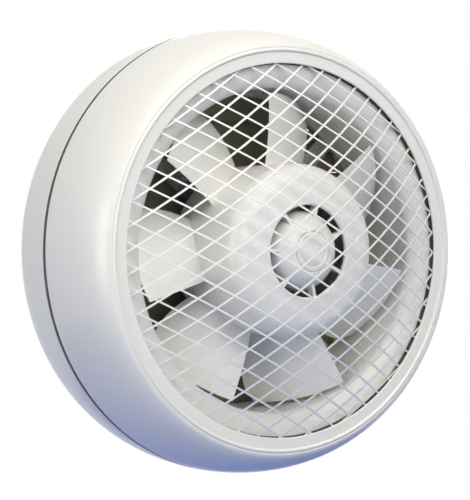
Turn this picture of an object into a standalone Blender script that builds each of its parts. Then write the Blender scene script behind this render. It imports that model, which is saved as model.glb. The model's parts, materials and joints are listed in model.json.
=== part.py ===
"""Round axial extractor fan that hangs on a wall over a round opening.

X is to the right, Y runs from the room towards the wall and Z is up. The wall is the plane
Y = 0 and the fan's axis is the Y axis. All sizes are in metres, and a place along the axis is
given as a distance behind the front opening's plane.
"""

import math

import bmesh
import bpy
from mathutils import Matrix, Vector

# Gaps between pieces
SEAT_GAP = 0.0003
RUNNING_GAP = 0.00005
PIN_GAP = 0.0001

# How far a cut runs past a face, and how far joined forms reach into each other
CUT_MARGIN = 0.002
FUSE_LAP = 0.001

# Housing
HOUSING_DEPTH = 0.104
HOUSING_RADIUS = 0.1468
COVER_WALL = 0.0025
COVER_BULGE_LENGTH = 0.060
COVER_BULGE_POWER = 1.8
SEAM_DEPTH = 0.050
SEAM_WIDTH = 0.0008
SPIGOT_LENGTH = 0.006
SPIGOT_WALL = 0.0018
LIP_THICKNESS = 0.0024
BEAD_RADIUS = 0.0012
SIDE_START = 0.0016
LAND_START = 0.0080
OPENING_RADIUS = 0.118
LIP_WIDTH = 0.009
FRONT_CROWDING = 1.7

# Rear casing
CASING_WALL = 0.0026
REAR_DRAW = 0.0138
REAR_RIM_WIDTH = 0.0045
REAR_CURVE_START = 0.058
REAR_CURVE_POWER = 2.6
REAR_CROWDING = 0.8
REAR_RIM_DEPTH = 0.006
WEB_DEPTH = 0.060
WEB_THICKNESS = 0.0025
DUCT_WALL = 0.0022
SLEEVE_LENGTH = 0.008
LUG_COUNT = 4
LUG_WIDTH = 0.022
LUG_THICKNESS = 0.0036
LUG_REACH = 0.019
LUG_HOLE_RADIUS = 0.0026

# Inlet ring
THROAT_RADIUS = 0.1033
THROAT_DEPTH = 0.0145
INLET_WALL = 0.0020
INLET_LENGTH = 0.036
INLET_FLANGE_WIDTH = 0.0075

# Guard
MESH_LONG_PITCH = 0.0219
MESH_SHORT_PITCH = 0.0134
MESH_TILT = math.radians(3.5)
MESH_OFFSET = (-0.0135, 0.0031)
MESH_RISE = 0.0315
MESH_CURVE_POWER = 2.05
STRAND_WIDTH = 0.0010
STRAND_THICKNESS = 0.0009
RIM_WIDTH = 0.0065
RIM_THICKNESS = 0.0014
RIM_HIDDEN = 0.0004
STRAND_LAP = 0.0005

# Impeller
BLADE_COUNT = 7
BLADE_TIP_GAP = 0.0031
BLADE_THICKNESS = 0.0022
BLADE_CAMBER = 0.0030
BLADE_EDGE_SHARE = 0.35
BLADE_FULLNESS = 0.7
BLADE_TIP_THINNING = 0.35
BLADE_ROUND_START = 0.8
BLADE_TIP_TRIM = 0.06
BLADE_PHASE = math.radians(43.4)
BLADE_ROOT_LAG = math.radians(2.1)
BLADE_ROOT_SPREAD = math.radians(40.5)
BLADE_TIP_SPREAD = math.radians(30.0)
BLADE_FRONT_TIP = 0.013
BLADE_FRONT_ROOT = 0.020
BLADE_REAR_TIP = 0.0452
BLADE_REAR_ROOT = 0.0385
HUB_RADIUS = 0.0548
HUB_WALL = 0.0022
HUB_FRONT = -0.0190
HUB_REAR = 0.0530
HUB_SHOULDER = 0.0135
HUB_SHOULDER_START = math.radians(12.0)
HUB_SHOULDER_FLATNESS = 0.9
HUB_CROWN = 0.0014
RECESS_RADIUS = 0.0288
RECESS_EDGE_WIDTH = 0.0008
RECESS_EDGE_DEPTH = 0.0006
RECESS_RIB_COUNT = 7
RECESS_RIB_THICKNESS = 0.0020
RECESS_RIB_DEPTH = 0.0060
RECESS_RIB_PHASE = math.radians(-27.5)
RECESS_RIB_SETBACK = 0.0012
RECESS_RIB_ROOT = 0.0055
BOSS_RADIUS = 0.0254
BOSS_FRONT = -0.0230
BOSS_REAR = 0.0120
BOSS_RIM = 0.0006
BOSS_ROUND_POWER = 1.25
BOSS_NECK_RADIUS = 0.0112
BOSS_FLOOR = 0.002
CAP_RADIUS = 0.0123
CAP_THICKNESS = 0.0024
CAP_PROUD = 0.0006
CAP_DOME = 0.0004
CAP_RING_INNER = 0.0084
CAP_RING_OUTER = 0.0103
CAP_RING_EDGE = 0.0005
CAP_RING_DEPTH = 0.0003
NUT_POCKET_RADIUS = 0.0092
NUT_POCKET_DEPTH = 0.0130

# Shaft and fastening
SHAFT_RADIUS = 0.0040
SHAFT_END_MARGIN = 0.0016
SHAFT_CHAMFER = 0.0006
COLLAR_RADIUS = 0.0068
COLLAR_THICKNESS = 0.0014
COLLAR_CLEARANCE = 0.0008
WASHER_RADIUS = 0.0080
WASHER_THICKNESS = 0.0014
NUT_ACROSS_FLATS = 0.013
NUT_THICKNESS = 0.0050
NUT_CHAMFER = 0.0009

# Motor
MOTOR_RADIUS = 0.0420
MOTOR_FRONT = 0.0145
MOTOR_REAR = 0.0622
MOTOR_COVER_WALL = 0.0020
MOTOR_SKIRT_WALL = 0.0032
MOTOR_ROUND = 0.006
MOTOR_DOME = 0.002
CORE_FRONT = 0.0290
CORE_LENGTH = 0.0180
CORE_BORE_RADIUS = 0.0224
ROTOR_AIR_GAP = 0.0004
ROTOR_RING_LENGTH = 0.0020
ROTOR_RING_INNER = 0.0156
TOOTH_COUNT = 6
TOOTH_WIDTH = 0.0080
CORE_BACK_RADIUS = 0.0350
WINDING_INNER_RADIUS = 0.0255
WINDING_OUTER_RADIUS = 0.0345
WINDING_OVERHANG = 0.0065
BEARING_RADIUS = 0.0090
BEARING_LENGTH = 0.0080
BEARING_HOUSING_WALL = 0.0022
BEARING_FRONT_INSET = 0.0016
BEARING_REAR_INSET = 0.0004
BEARING_LIP = 0.0010
MOTOR_SCREW_CIRCLE = 0.0300

# Motor bracket
BRACKET_THICKNESS = 0.0020
BRACKET_PLATE_RADIUS = 0.0400
BRACKET_HOLE_RADIUS = 0.0130
BRACKET_RING_WIDTH = 0.0102
BRACKET_LEDGE = 0.0008
BRACKET_ARM_COUNT = 4
BRACKET_ARM_WIDTH = 0.0120
BRACKET_FIRST_ARM = math.radians(45.0)

# Shutter
SHUTTER_FLANGE_THICKNESS = 0.0020
SHUTTER_LIP_WIDTH = 0.0030
SHUTTER_LIP_DEPTH = 0.0695
FLAP_COUNT = 5
FLAP_TOP_INSET = 0.0183
FLAP_THICKNESS = 0.0011
FLAP_LAP = 0.0014
FLAP_EDGE_GAP = 0.0006
FLAP_BARREL_RADIUS = 0.0015
FLAP_PIN_RADIUS = 0.0012
FLAP_PIN_LENGTH = 0.0026
FLAP_NOTCH = 0.0042
EAR_RADIUS = 0.0024
EAR_WIDTH = 0.0042
BORE_LEAD = 0.0020

# Screws
SCREW_RADIUS = 0.0019
SCREW_HEAD_RADIUS = 0.0034
SCREW_HEAD_HEIGHT = 0.0016
SCREW_HEAD_CHAMFER = 0.0005
FRAME_SCREW_INSET = 0.0069
FRAME_SCREW_END = 0.0010
MOTOR_SCREW_GRIP = 0.0016

# Terminal block and cable entry
TERMINAL_ANGLE = math.radians(-62.0)
TERMINAL_SIZE = (0.0340, 0.0150, 0.0140)
TERMINAL_WAYS = 3
TERMINAL_WELL_RADIUS = 0.0034
GROMMET_ANGLE = math.radians(-90.0)
GROMMET_BORE_RADIUS = 0.0030
GROMMET_NECK_RADIUS = 0.0048
GROMMET_FLANGE_RADIUS = 0.0064
GROMMET_FLANGE_THICKNESS = 0.0018

# Roundness of the meshes
SHELL_STEPS = 36
HUB_STEPS = 28
MOTOR_STEPS = 28
SMALL_STEPS = 16
PIN_STEPS = 8
CURVE_STEPS = 6

SMOOTH_ANGLE = math.radians(35.0)
MERGE_DISTANCE = 1e-7


def place(depth):
    """The Y of a distance behind the front opening's plane."""
    return depth - HOUSING_DEPTH


def polar(radius, angle, depth):
    """A point at a radius and an angle round the axis, counted from +X towards +Z."""
    return Vector((radius * math.cos(angle), place(depth), radius * math.sin(angle)))


def blend_power(share, power):
    """A superellipse's height at a share of its width, both from 0 to 1."""
    return max(0.0, 1.0 - (1.0 - share) ** power) ** (1.0 / power)


def spun(profile, steps):
    """A closed mesh turned about the Y axis from (radius, depth) points.

    A profile that starts on the axis also ends there. Any other profile is a closed loop.
    """
    shape = bmesh.new()
    verts = [shape.verts.new((radius, place(depth), 0.0)) for radius, depth in profile]
    pairs = list(zip(verts, verts[1:]))
    if profile[0][0] > 0.0:
        pairs.append((verts[-1], verts[0]))
    edges = [shape.edges.new(pair) for pair in pairs]
    bmesh.ops.spin(
        shape,
        geom=verts + edges,
        cent=(0.0, 0.0, 0.0),
        axis=(0.0, 1.0, 0.0),
        angle=math.tau,
        steps=steps,
        use_merge=True,
    )
    bmesh.ops.remove_doubles(shape, verts=shape.verts, dist=MERGE_DISTANCE)
    bmesh.ops.recalc_face_normals(shape, faces=shape.faces)
    return shape


def tube(inner, outer, front, rear, steps):
    """A ring or, with an inner radius of 0, a disc, between two depths."""
    if inner > 0.0:
        return spun([(outer, front), (outer, rear), (inner, rear), (inner, front)], steps)
    return spun([(0.0, front), (outer, front), (outer, rear), (0.0, rear)], steps)


def plate(outline, front, rear):
    """An (x, z) outline drawn out between two depths."""
    shape = bmesh.new()
    verts = [shape.verts.new((x, place(front), z)) for x, z in outline]
    face = shape.faces.new(verts)
    drawn = bmesh.ops.extrude_face_region(shape, geom=[face])
    moved = [item for item in drawn["geom"] if isinstance(item, bmesh.types.BMVert)]
    bmesh.ops.translate(shape, vec=(0.0, rear - front, 0.0), verts=moved)
    bmesh.ops.recalc_face_normals(shape, faces=shape.faces)
    return shape


def bar(start_radius, end_radius, width, front, rear):
    """A straight bar along +X between two radii, with its width along Z."""
    half = width / 2.0
    corners = [
        (start_radius, -half),
        (end_radius, -half),
        (end_radius, half),
        (start_radius, half),
    ]
    return plate(corners, front, rear)


def rod(radius, length, steps):
    """A cylinder along +X whose first end is at the origin."""
    shape = bmesh.new()
    turn = Matrix.Rotation(math.pi / 2.0, 4, "Y")
    bmesh.ops.create_cone(
        shape,
        cap_ends=True,
        segments=steps,
        radius1=radius,
        radius2=radius,
        depth=length,
        matrix=Matrix.Translation((length / 2.0, 0.0, 0.0)) @ turn,
    )
    return shape


def turned(shape, angle):
    """The same mesh, turned about the fan's axis from +X towards +Z."""
    matrix = Matrix.Rotation(-angle, 4, "Y")
    bmesh.ops.transform(shape, matrix=matrix, verts=shape.verts)
    return shape


def moved(shape, offset):
    """The same mesh, moved."""
    bmesh.ops.translate(shape, vec=offset, verts=shape.verts)
    return shape


def gathered(shapes):
    """Several meshes as one, each still a body of its own."""
    whole = bmesh.new()
    for shape in shapes:
        mesh = bpy.data.meshes.new("part_of_group")
        shape.to_mesh(mesh)
        shape.free()
        whole.from_mesh(mesh)
        bpy.data.meshes.remove(mesh)
    return whole


def finish(name, colour, roughness, metallic=0.0):
    """A Principled material."""
    material = bpy.data.materials.new(name)
    material.use_nodes = True
    shader = material.node_tree.nodes["Principled BSDF"]
    shader.inputs["Base Color"].default_value = (*colour, 1.0)
    shader.inputs["Roughness"].default_value = roughness
    shader.inputs["Metallic"].default_value = metallic
    material.diffuse_color = (*colour, 1.0)
    return material


def piece(name, shape, material):
    """A named object made from a mesh."""
    mesh = bpy.data.meshes.new(name)
    shape.to_mesh(mesh)
    shape.free()
    mesh.materials.append(material)
    obj = bpy.data.objects.new(name, mesh)
    bpy.context.scene.collection.objects.link(obj)
    return obj


def shade(obj):
    """Smooth shading, but for the edges."""
    obj.data.shade_smooth()
    obj.data.set_sharp_from_angle(angle=SMOOTH_ANGLE)


def combined(obj, shape, operation, solver="EXACT"):
    """Joins a mesh to an object, cuts it out or keeps what both share."""
    tool = piece(obj.name + "_tool", shape, obj.data.materials[0])
    modifier = obj.modifiers.new(operation.lower(), "BOOLEAN")
    modifier.solver = solver
    modifier.operation = operation
    modifier.object = tool
    bpy.context.view_layer.update()
    graph = bpy.context.evaluated_depsgraph_get()
    result = bpy.data.meshes.new_from_object(obj.evaluated_get(graph))
    obj.modifiers.clear()
    obj.data = result
    bpy.data.objects.remove(tool)


def hung_on(obj, parent):
    """Parents an object without moving it."""
    obj.parent = parent
    obj.matrix_parent_inverse = parent.matrix_world.inverted()


def around(count, first=0.0):
    """Equally spaced angles."""
    return [first + math.tau * index / count for index in range(count)]


def cover_radius(depth):
    """The front cover's outer radius: a superellipse from the front edge to the widest ring."""
    share = min(1.0, max(0.0, depth) / COVER_BULGE_LENGTH)
    crest = OPENING_RADIUS + LIP_WIDTH
    return crest + (HOUSING_RADIUS - crest) * blend_power(share, COVER_BULGE_POWER)


def casing_radius(depth):
    """The rear casing's outer radius, drawn in towards the wall."""
    share = max(0.0, depth - REAR_CURVE_START) / (HOUSING_DEPTH - REAR_CURVE_START)
    fall = max(0.0, 1.0 - share**REAR_CURVE_POWER) ** (1.0 / COVER_BULGE_POWER)
    return min(cover_radius(depth), HOUSING_RADIUS - REAR_DRAW * (1.0 - fall))


def spaced(first, last, count, power=1.0):
    """Numbers from first to last, set closer at the start where the power is above 1."""
    return [first + (last - first) * (index / count) ** power for index in range(count + 1)]


def mesh_depth(radius):
    """The guard's domed surface, carried on past the rim."""
    share = radius / OPENING_RADIUS
    rim = LIP_THICKNESS + SEAT_GAP + RIM_THICKNESS / 2.0
    return rim - MESH_RISE * (1.0 - share**MESH_CURVE_POWER)


def spigot_seat():
    """The radius inside the cover's rear edge that the rear casing's spigot fits."""
    return cover_radius(SEAM_DEPTH - SPIGOT_LENGTH - SEAT_GAP) - COVER_WALL


def duct_outer():
    """The outer radius of the rear casing's duct tube."""
    return THROAT_RADIUS + INLET_WALL + SEAT_GAP + DUCT_WALL


def spigot_inner():
    """The inner radius of the rear casing's spigot."""
    return spigot_seat() - SEAT_GAP - SPIGOT_WALL


def terminal_circle():
    """The circle midway between duct and spigot that the terminal block stands on."""
    return (duct_outer() + spigot_inner()) / 2.0


def grommet_circle():
    """The circle midway between the bracket's ring and the spigot, where the supply comes in."""
    return (THROAT_RADIUS + BRACKET_RING_WIDTH + spigot_inner()) / 2.0


def frame_screw_circle():
    """The circle of the screws that hold shutter and bracket to the web."""
    return THROAT_RADIUS + FRAME_SCREW_INSET


def drilled(radius, front, rear, circle, angle, steps=PIN_STEPS):
    """A drill that runs past both faces, at a circle's radius and an angle."""
    drill = tube(0.0, radius, front - CUT_MARGIN, rear + CUT_MARGIN, steps)
    return turned(moved(drill, (circle, 0.0, 0.0)), angle)


def screw_holes(front, rear, circle):
    """Drills for the screws that stand where the bracket's arms are."""
    angles = around(BRACKET_ARM_COUNT, BRACKET_FIRST_ARM)
    return [drilled(SCREW_RADIUS + SEAT_GAP, front, rear, circle, angle) for angle in angles]


def make_front_cover(white):
    """The bowl: a flat lip round the opening, a small bead, and a bulged side."""
    crest = OPENING_RADIUS + LIP_WIDTH - BEAD_RADIUS / 2.0
    bead = [
        (crest + BEAD_RADIUS * math.cos(angle), BEAD_RADIUS * (1.0 - math.sin(angle)))
        for angle in spaced(math.pi, math.pi / 4.0, 3)
    ]
    outer = [
        (cover_radius(depth), depth)
        for depth in spaced(SIDE_START, SEAM_DEPTH, CURVE_STEPS, FRONT_CROWDING)
    ]
    land = SEAM_DEPTH - SPIGOT_LENGTH - SEAT_GAP
    inner = [(spigot_seat(), SEAM_DEPTH)]
    inner += [
        (cover_radius(depth) - COVER_WALL, depth)
        for depth in reversed(spaced(LAND_START, land, CURVE_STEPS - 3, FRONT_CROWDING))
    ]
    lip_back = [
        (OPENING_RADIUS + LIP_WIDTH - COVER_WALL / 2.0, LIP_THICKNESS),
        (OPENING_RADIUS, LIP_THICKNESS),
    ]
    lip_front = [
        (OPENING_RADIUS, BEAD_RADIUS),
        (OPENING_RADIUS + BEAD_RADIUS / 2.0, BEAD_RADIUS / 2.0),
    ]
    profile = bead + outer + inner + lip_back + lip_front
    return piece("front_cover", spun(profile, SHELL_STEPS), white)


def make_inlet_ring(white):
    """The bell mouth that leads from the opening to the throat, with its front flange."""
    front = LIP_THICKNESS + RIM_THICKNESS + 2.0 * SEAT_GAP
    turn_radius = OPENING_RADIUS - THROAT_RADIUS
    turn_length = THROAT_DEPTH - front
    angles = spaced(0.0, math.pi / 2.0, 4)
    mouth = [
        (
            THROAT_RADIUS + turn_radius * (1.0 - math.sin(angle)),
            front + turn_length * (1.0 - math.cos(angle)),
        )
        for angle in angles
    ]
    back = [
        (
            THROAT_RADIUS + INLET_WALL + turn_radius * (1.0 - math.sin(angle)),
            front + INLET_WALL + turn_length * (1.0 - math.cos(angle)),
        )
        for angle in reversed(spaced(0.0, math.pi / 2.0, 3))
    ]
    rear = [
        (THROAT_RADIUS, INLET_LENGTH),
        (THROAT_RADIUS + INLET_WALL, INLET_LENGTH),
    ]
    flange = [
        (OPENING_RADIUS + INLET_FLANGE_WIDTH, front + INLET_WALL),
        (OPENING_RADIUS + INLET_FLANGE_WIDTH, front),
    ]
    return piece("inlet_ring", spun(mouth + rear + back + flange, SHELL_STEPS), white)


def make_rear_casing(white):
    """The rear half: outer skirt, web, duct tube with its sleeve, and four wall lugs."""
    seam = SEAM_DEPTH + SEAM_WIDTH
    spigot_outer = spigot_seat() - SEAT_GAP
    spigot_front = SEAM_DEPTH - SPIGOT_LENGTH
    web_rear = WEB_DEPTH + WEB_THICKNESS
    rim_inner = HOUSING_RADIUS - REAR_DRAW - REAR_RIM_WIDTH
    sleeve_inner = THROAT_RADIUS + INLET_WALL + SEAT_GAP
    sleeve_front = INLET_LENGTH - SLEEVE_LENGTH
    skirt = [
        (casing_radius(depth), depth)
        for depth in spaced(seam, HOUSING_DEPTH, CURVE_STEPS + 1, REAR_CROWDING)
    ]
    rim = [(rim_inner, HOUSING_DEPTH)]
    inside = [
        (casing_radius(depth) - CASING_WALL, depth)
        for depth in reversed(spaced(web_rear, HOUSING_DEPTH - REAR_RIM_DEPTH, 4))
    ]
    duct = [
        (THROAT_RADIUS, web_rear),
        (THROAT_RADIUS, INLET_LENGTH + SEAT_GAP),
        (sleeve_inner, INLET_LENGTH + SEAT_GAP),
        (sleeve_inner, sleeve_front),
        (duct_outer(), sleeve_front),
        (duct_outer(), WEB_DEPTH),
    ]
    spigot = [
        (spigot_inner(), WEB_DEPTH),
        (spigot_inner(), spigot_front),
        (spigot_outer, spigot_front),
        (spigot_outer, seam),
    ]
    obj = piece("rear_casing", spun(skirt + rim + inside + duct + spigot, SHELL_STEPS), white)
    lug_outer = rim_inner + REAR_RIM_WIDTH / 2.0
    lug_inner = lug_outer - LUG_REACH
    lug_front = HOUSING_DEPTH - LUG_THICKNESS
    for angle in around(LUG_COUNT):
        lug = bar(lug_inner, lug_outer, LUG_WIDTH, lug_front, HOUSING_DEPTH)
        combined(obj, turned(lug, angle), "UNION")
    holes = [
        drilled(LUG_HOLE_RADIUS, lug_front, HOUSING_DEPTH, (lug_inner + rim_inner) / 2.0, angle)
        for angle in around(LUG_COUNT)
    ]
    holes += screw_holes(WEB_DEPTH, web_rear, frame_screw_circle())
    entry_radius = GROMMET_NECK_RADIUS + SEAT_GAP
    holes.append(
        drilled(entry_radius, WEB_DEPTH, web_rear, grommet_circle(), GROMMET_ANGLE, SMALL_STEPS)
    )
    combined(obj, gathered(holes), "DIFFERENCE")
    return obj


def lattice_cells(reach):
    """The middles of the mesh's diamonds within a reach of the axis, as lattice counts."""
    count = int(2.0 * reach / MESH_SHORT_PITCH) + 2
    cells = []
    for row in range(-count, count + 1):
        for column in range(-count, count + 1):
            if (row + column) % 2:
                middle = lattice_point(column, row)
                if middle.length < reach:
                    cells.append((column, row))
    return cells


def lattice_point(column, row):
    """The (x, z) place of a lattice count: half a long pitch and half a short pitch a step."""
    along = Vector((math.cos(MESH_TILT), math.sin(MESH_TILT)))
    across = Vector((-math.sin(MESH_TILT), math.cos(MESH_TILT)))
    step = along * (column * MESH_LONG_PITCH / 2.0) + across * (row * MESH_SHORT_PITCH / 2.0)
    return Vector(MESH_OFFSET) + step


def make_guard(white_metal):
    """Expanded metal mesh: diamond holes in a domed sheet, with a flat rim."""
    shape = bmesh.new()
    corners = {}
    slope = math.hypot(MESH_LONG_PITCH, MESH_SHORT_PITCH)
    long_inset = STRAND_WIDTH / 2.0 * slope / MESH_SHORT_PITCH
    short_inset = STRAND_WIDTH / 2.0 * slope / MESH_LONG_PITCH
    along = Vector((math.cos(MESH_TILT), math.sin(MESH_TILT)))
    across = Vector((-math.sin(MESH_TILT), math.cos(MESH_TILT)))
    sides = {
        "right": (1, 0, -along * long_inset),
        "top": (0, 1, -across * short_inset),
        "left": (-1, 0, along * long_inset),
        "bottom": (0, -1, across * short_inset),
    }

    def corner(cell, side):
        """The sheet's vertex at one corner of a diamond hole."""
        if (cell, side) not in corners:
            column, row, inset = sides[side]
            point = lattice_point(cell[0] + column, cell[1] + row) + inset
            depth = mesh_depth(point.length)
            corners[cell, side] = shape.verts.new((point.x, place(depth), point.y))
        return corners[cell, side]

    cells = lattice_cells(OPENING_RADIUS + MESH_LONG_PITCH)
    known = set(cells)

    def around_node(column, row):
        """The four diamonds that meet at a node of the mesh."""
        return [(column - 1, row), (column, row - 1), (column + 1, row), (column, row + 1)]

    for column, row in cells:
        node = around_node(column + 1, row)
        if not known.issuperset(node):
            continue
        names = ("right", "top", "left", "bottom")
        shape.faces.new([corner(cell, side) for cell, side in zip(node, names)])
        for rise, near_side, far_side in ((1, "top", "bottom"), (-1, "bottom", "top")):
            if known.issuperset(around_node(column, row + rise)):
                other = (column + 1, row + rise)
                shape.faces.new(
                    [
                        corner((column, row), "right"),
                        corner((column, row), near_side),
                        corner(other, "left"),
                        corner(other, far_side),
                    ]
                )
    drawn = bmesh.ops.extrude_face_region(shape, geom=shape.faces[:])
    lifted = [item for item in drawn["geom"] if isinstance(item, bmesh.types.BMVert)]
    bmesh.ops.translate(shape, vec=(0.0, STRAND_THICKNESS, 0.0), verts=lifted)
    moved(shape, (0.0, -STRAND_THICKNESS / 2.0, 0.0))
    bmesh.ops.recalc_face_normals(shape, faces=shape.faces)
    obj = piece("guard_mesh", shape, white_metal)
    rim_inner = OPENING_RADIUS + RIM_HIDDEN
    keep = tube(0.0, rim_inner + STRAND_LAP, -2.0 * MESH_RISE, INLET_LENGTH, SHELL_STEPS)
    combined(obj, keep, "INTERSECT", "MANIFOLD")
    rim_front = LIP_THICKNESS + SEAT_GAP
    rim = tube(rim_inner, rim_inner + RIM_WIDTH, rim_front, rim_front + RIM_THICKNESS, SHELL_STEPS)
    combined(obj, rim, "UNION", "MANIFOLD")
    return obj


def blade_section(span):
    """One section's loop of points at a share of the blade's length, root 0 and tip 1."""
    root_radius = HUB_RADIUS - HUB_WALL / 2.0
    radius = root_radius + (THROAT_RADIUS - BLADE_TIP_GAP - root_radius) * span
    away = (1.0 - span) ** 2
    rounding = max(0.0, span - BLADE_ROUND_START) / (1.0 - BLADE_ROUND_START)
    front = BLADE_FRONT_TIP + (BLADE_FRONT_ROOT - BLADE_FRONT_TIP) * away
    rear = BLADE_REAR_TIP + (BLADE_REAR_ROOT - BLADE_REAR_TIP) * away
    spread = BLADE_ROOT_SPREAD + (BLADE_TIP_SPREAD - BLADE_ROOT_SPREAD) * span**2
    lead = BLADE_PHASE + BLADE_ROOT_LAG * away
    spread *= 1.0 - BLADE_TIP_TRIM * rounding**2
    shares = [0.0, 0.15, 0.45, 0.75, 1.0]
    faces = {1.0: [], -1.0: []}
    for side in faces:
        for share in shares:
            angle = lead - spread * share
            camber = BLADE_CAMBER * 4.0
            depth = front + (rear - front) * share - camber * share * (1.0 - share)
            slope_depth = (rear - front) - camber * (1.0 - 2.0 * share)
            slope_arc = -radius * spread
            length = math.hypot(slope_depth, slope_arc)
            belly = (1.0 - BLADE_EDGE_SHARE) * math.sin(math.pi * share) ** BLADE_FULLNESS
            thick = BLADE_THICKNESS / 2.0 * (BLADE_EDGE_SHARE + belly)
            thick *= 1.0 - BLADE_TIP_THINNING * span
            turn = side * thick * -slope_depth / length / radius
            shift = side * thick * slope_arc / length
            faces[side].append(polar(radius, angle + turn, depth + shift))
    return faces[1.0] + faces[-1.0][::-1]


def blade():
    """One twisted blade, from inside the hub's wall to the tip."""
    shape = bmesh.new()
    loops = []
    for span in (0.0, 0.25, 0.5, 0.75, 0.9, 1.0):
        loops.append([shape.verts.new(point) for point in blade_section(span)])
    for inner, outer in zip(loops, loops[1:]):
        for index in range(len(inner)):
            following = (index + 1) % len(inner)
            shape.faces.new([inner[index], inner[following], outer[following], outer[index]])
    shape.faces.new(loops[0])
    shape.faces.new(loops[-1])
    bmesh.ops.recalc_face_normals(shape, faces=shape.faces)
    return shape


def hub_shoulder(inset, steps):
    """The hub's rounded shoulder from the front face out, or its inner side by an inset."""
    return [
        (
            HUB_RADIUS - inset - HUB_SHOULDER * (1.0 - math.sin(angle)),
            HUB_FRONT + HUB_CROWN + inset
            + HUB_SHOULDER * HUB_SHOULDER_FLATNESS * (1.0 - math.cos(angle)),
        )
        for angle in spaced(HUB_SHOULDER_START, math.pi / 2.0, steps)
    ]


def make_impeller(white):
    """Hub shell, domed boss, the ribs between them and the blades, moulded as one."""
    lip = HUB_FRONT + RECESS_EDGE_DEPTH
    entry = [(RECESS_RADIUS, lip), (RECESS_RADIUS + RECESS_EDGE_WIDTH, HUB_FRONT)]
    rear_edge = [(HUB_RADIUS, HUB_REAR), (HUB_RADIUS - HUB_WALL, HUB_REAR)]
    inside = hub_shoulder(HUB_WALL, 3)[::-1]
    profile = entry + hub_shoulder(0.0, 4) + rear_edge + inside + [(RECESS_RADIUS, lip + HUB_WALL)]
    obj = piece("impeller", spun(profile, HUB_STEPS), white)
    pocket_floor = BOSS_FRONT + NUT_POCKET_DEPTH
    bore = SHAFT_RADIUS + SEAT_GAP
    cap_seat = BOSS_FRONT + CAP_THICKNESS
    base = [
        (bore, BOSS_REAR),
        (BOSS_NECK_RADIUS, BOSS_REAR),
        (BOSS_NECK_RADIUS, pocket_floor + 4.0 * BOSS_FLOOR),
        (BOSS_RADIUS - BOSS_FLOOR, pocket_floor + 3.0 * BOSS_FLOOR),
        (BOSS_RADIUS, pocket_floor + 2.0 * BOSS_FLOOR),
    ]
    rim = CAP_RADIUS + SEAT_GAP + BOSS_RIM
    dome_rear = pocket_floor + BOSS_FLOOR
    dome = [
        (
            rim + (BOSS_RADIUS - rim) * math.cos(angle) ** BOSS_ROUND_POWER,
            dome_rear + (BOSS_FRONT - dome_rear) * math.sin(angle) ** BOSS_ROUND_POWER,
        )
        for angle in (0.0, math.pi / 7.0, math.pi / 3.5, math.pi / 2.4)
    ]
    dome.append((rim, BOSS_FRONT))
    pocket = [
        (CAP_RADIUS + SEAT_GAP, BOSS_FRONT),
        (CAP_RADIUS + SEAT_GAP, cap_seat),
        (NUT_POCKET_RADIUS, cap_seat),
        (NUT_POCKET_RADIUS, pocket_floor),
        (bore, pocket_floor),
    ]
    ribs = []
    for angle in around(RECESS_RIB_COUNT, RECESS_RIB_PHASE):
        rib = bar(
            BOSS_RADIUS - RECESS_RIB_ROOT,
            RECESS_RADIUS + RECESS_RIB_ROOT,
            RECESS_RIB_THICKNESS,
            HUB_FRONT + RECESS_RIB_SETBACK,
            HUB_FRONT + RECESS_RIB_SETBACK + RECESS_RIB_DEPTH,
        )
        ribs.append(turned(rib, angle))
    combined(obj, gathered(ribs), "UNION")
    combined(obj, spun(base + dome + pocket, SMALL_STEPS), "UNION")
    blades = [turned(blade(), angle) for angle in around(BLADE_COUNT)]
    combined(obj, gathered(blades), "UNION")
    return obj


def make_boss_cap(white):
    """The round cap over the nut, plain but for one shallow ring."""
    face = BOSS_FRONT - CAP_PROUD
    rear = BOSS_FRONT + CAP_THICKNESS - SEAT_GAP
    profile = [
        (0.0, face - CAP_DOME),
        (CAP_RING_INNER, face - CAP_DOME / 2.0),
        (CAP_RING_INNER + CAP_RING_EDGE, face + CAP_RING_DEPTH),
        (CAP_RING_OUTER - CAP_RING_EDGE, face + CAP_RING_DEPTH),
        (CAP_RING_OUTER, face),
        (CAP_RADIUS, face + CAP_DOME),
        (CAP_RADIUS, rear),
        (0.0, rear),
    ]
    return piece("boss_cap", spun(profile, SMALL_STEPS), white)


def make_shaft(steel):
    """The shaft with the collar that the boss seats on."""
    nut_rear = BOSS_FRONT + NUT_POCKET_DEPTH - WASHER_THICKNESS - 2.0 * SEAT_GAP
    front = nut_rear - NUT_THICKNESS - SHAFT_END_MARGIN
    collar_front = BOSS_REAR + SEAT_GAP
    rear = MOTOR_REAR + BRACKET_THICKNESS
    profile = [
        (0.0, front),
        (SHAFT_RADIUS - SHAFT_CHAMFER, front),
        (SHAFT_RADIUS, front + SHAFT_CHAMFER),
        (SHAFT_RADIUS, collar_front),
        (COLLAR_RADIUS, collar_front),
        (COLLAR_RADIUS, collar_front + COLLAR_THICKNESS),
        (SHAFT_RADIUS, collar_front + COLLAR_THICKNESS),
        (SHAFT_RADIUS, rear),
        (0.0, rear),
    ]
    return piece("shaft", spun(profile, SMALL_STEPS), steel)


def make_washer(steel):
    """The washer between the nut and the boss."""
    rear = BOSS_FRONT + NUT_POCKET_DEPTH - SEAT_GAP
    front = rear - WASHER_THICKNESS
    shape = tube(SHAFT_RADIUS + SEAT_GAP, WASHER_RADIUS, front, rear, SMALL_STEPS)
    return piece("impeller_washer", shape, steel)


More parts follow.
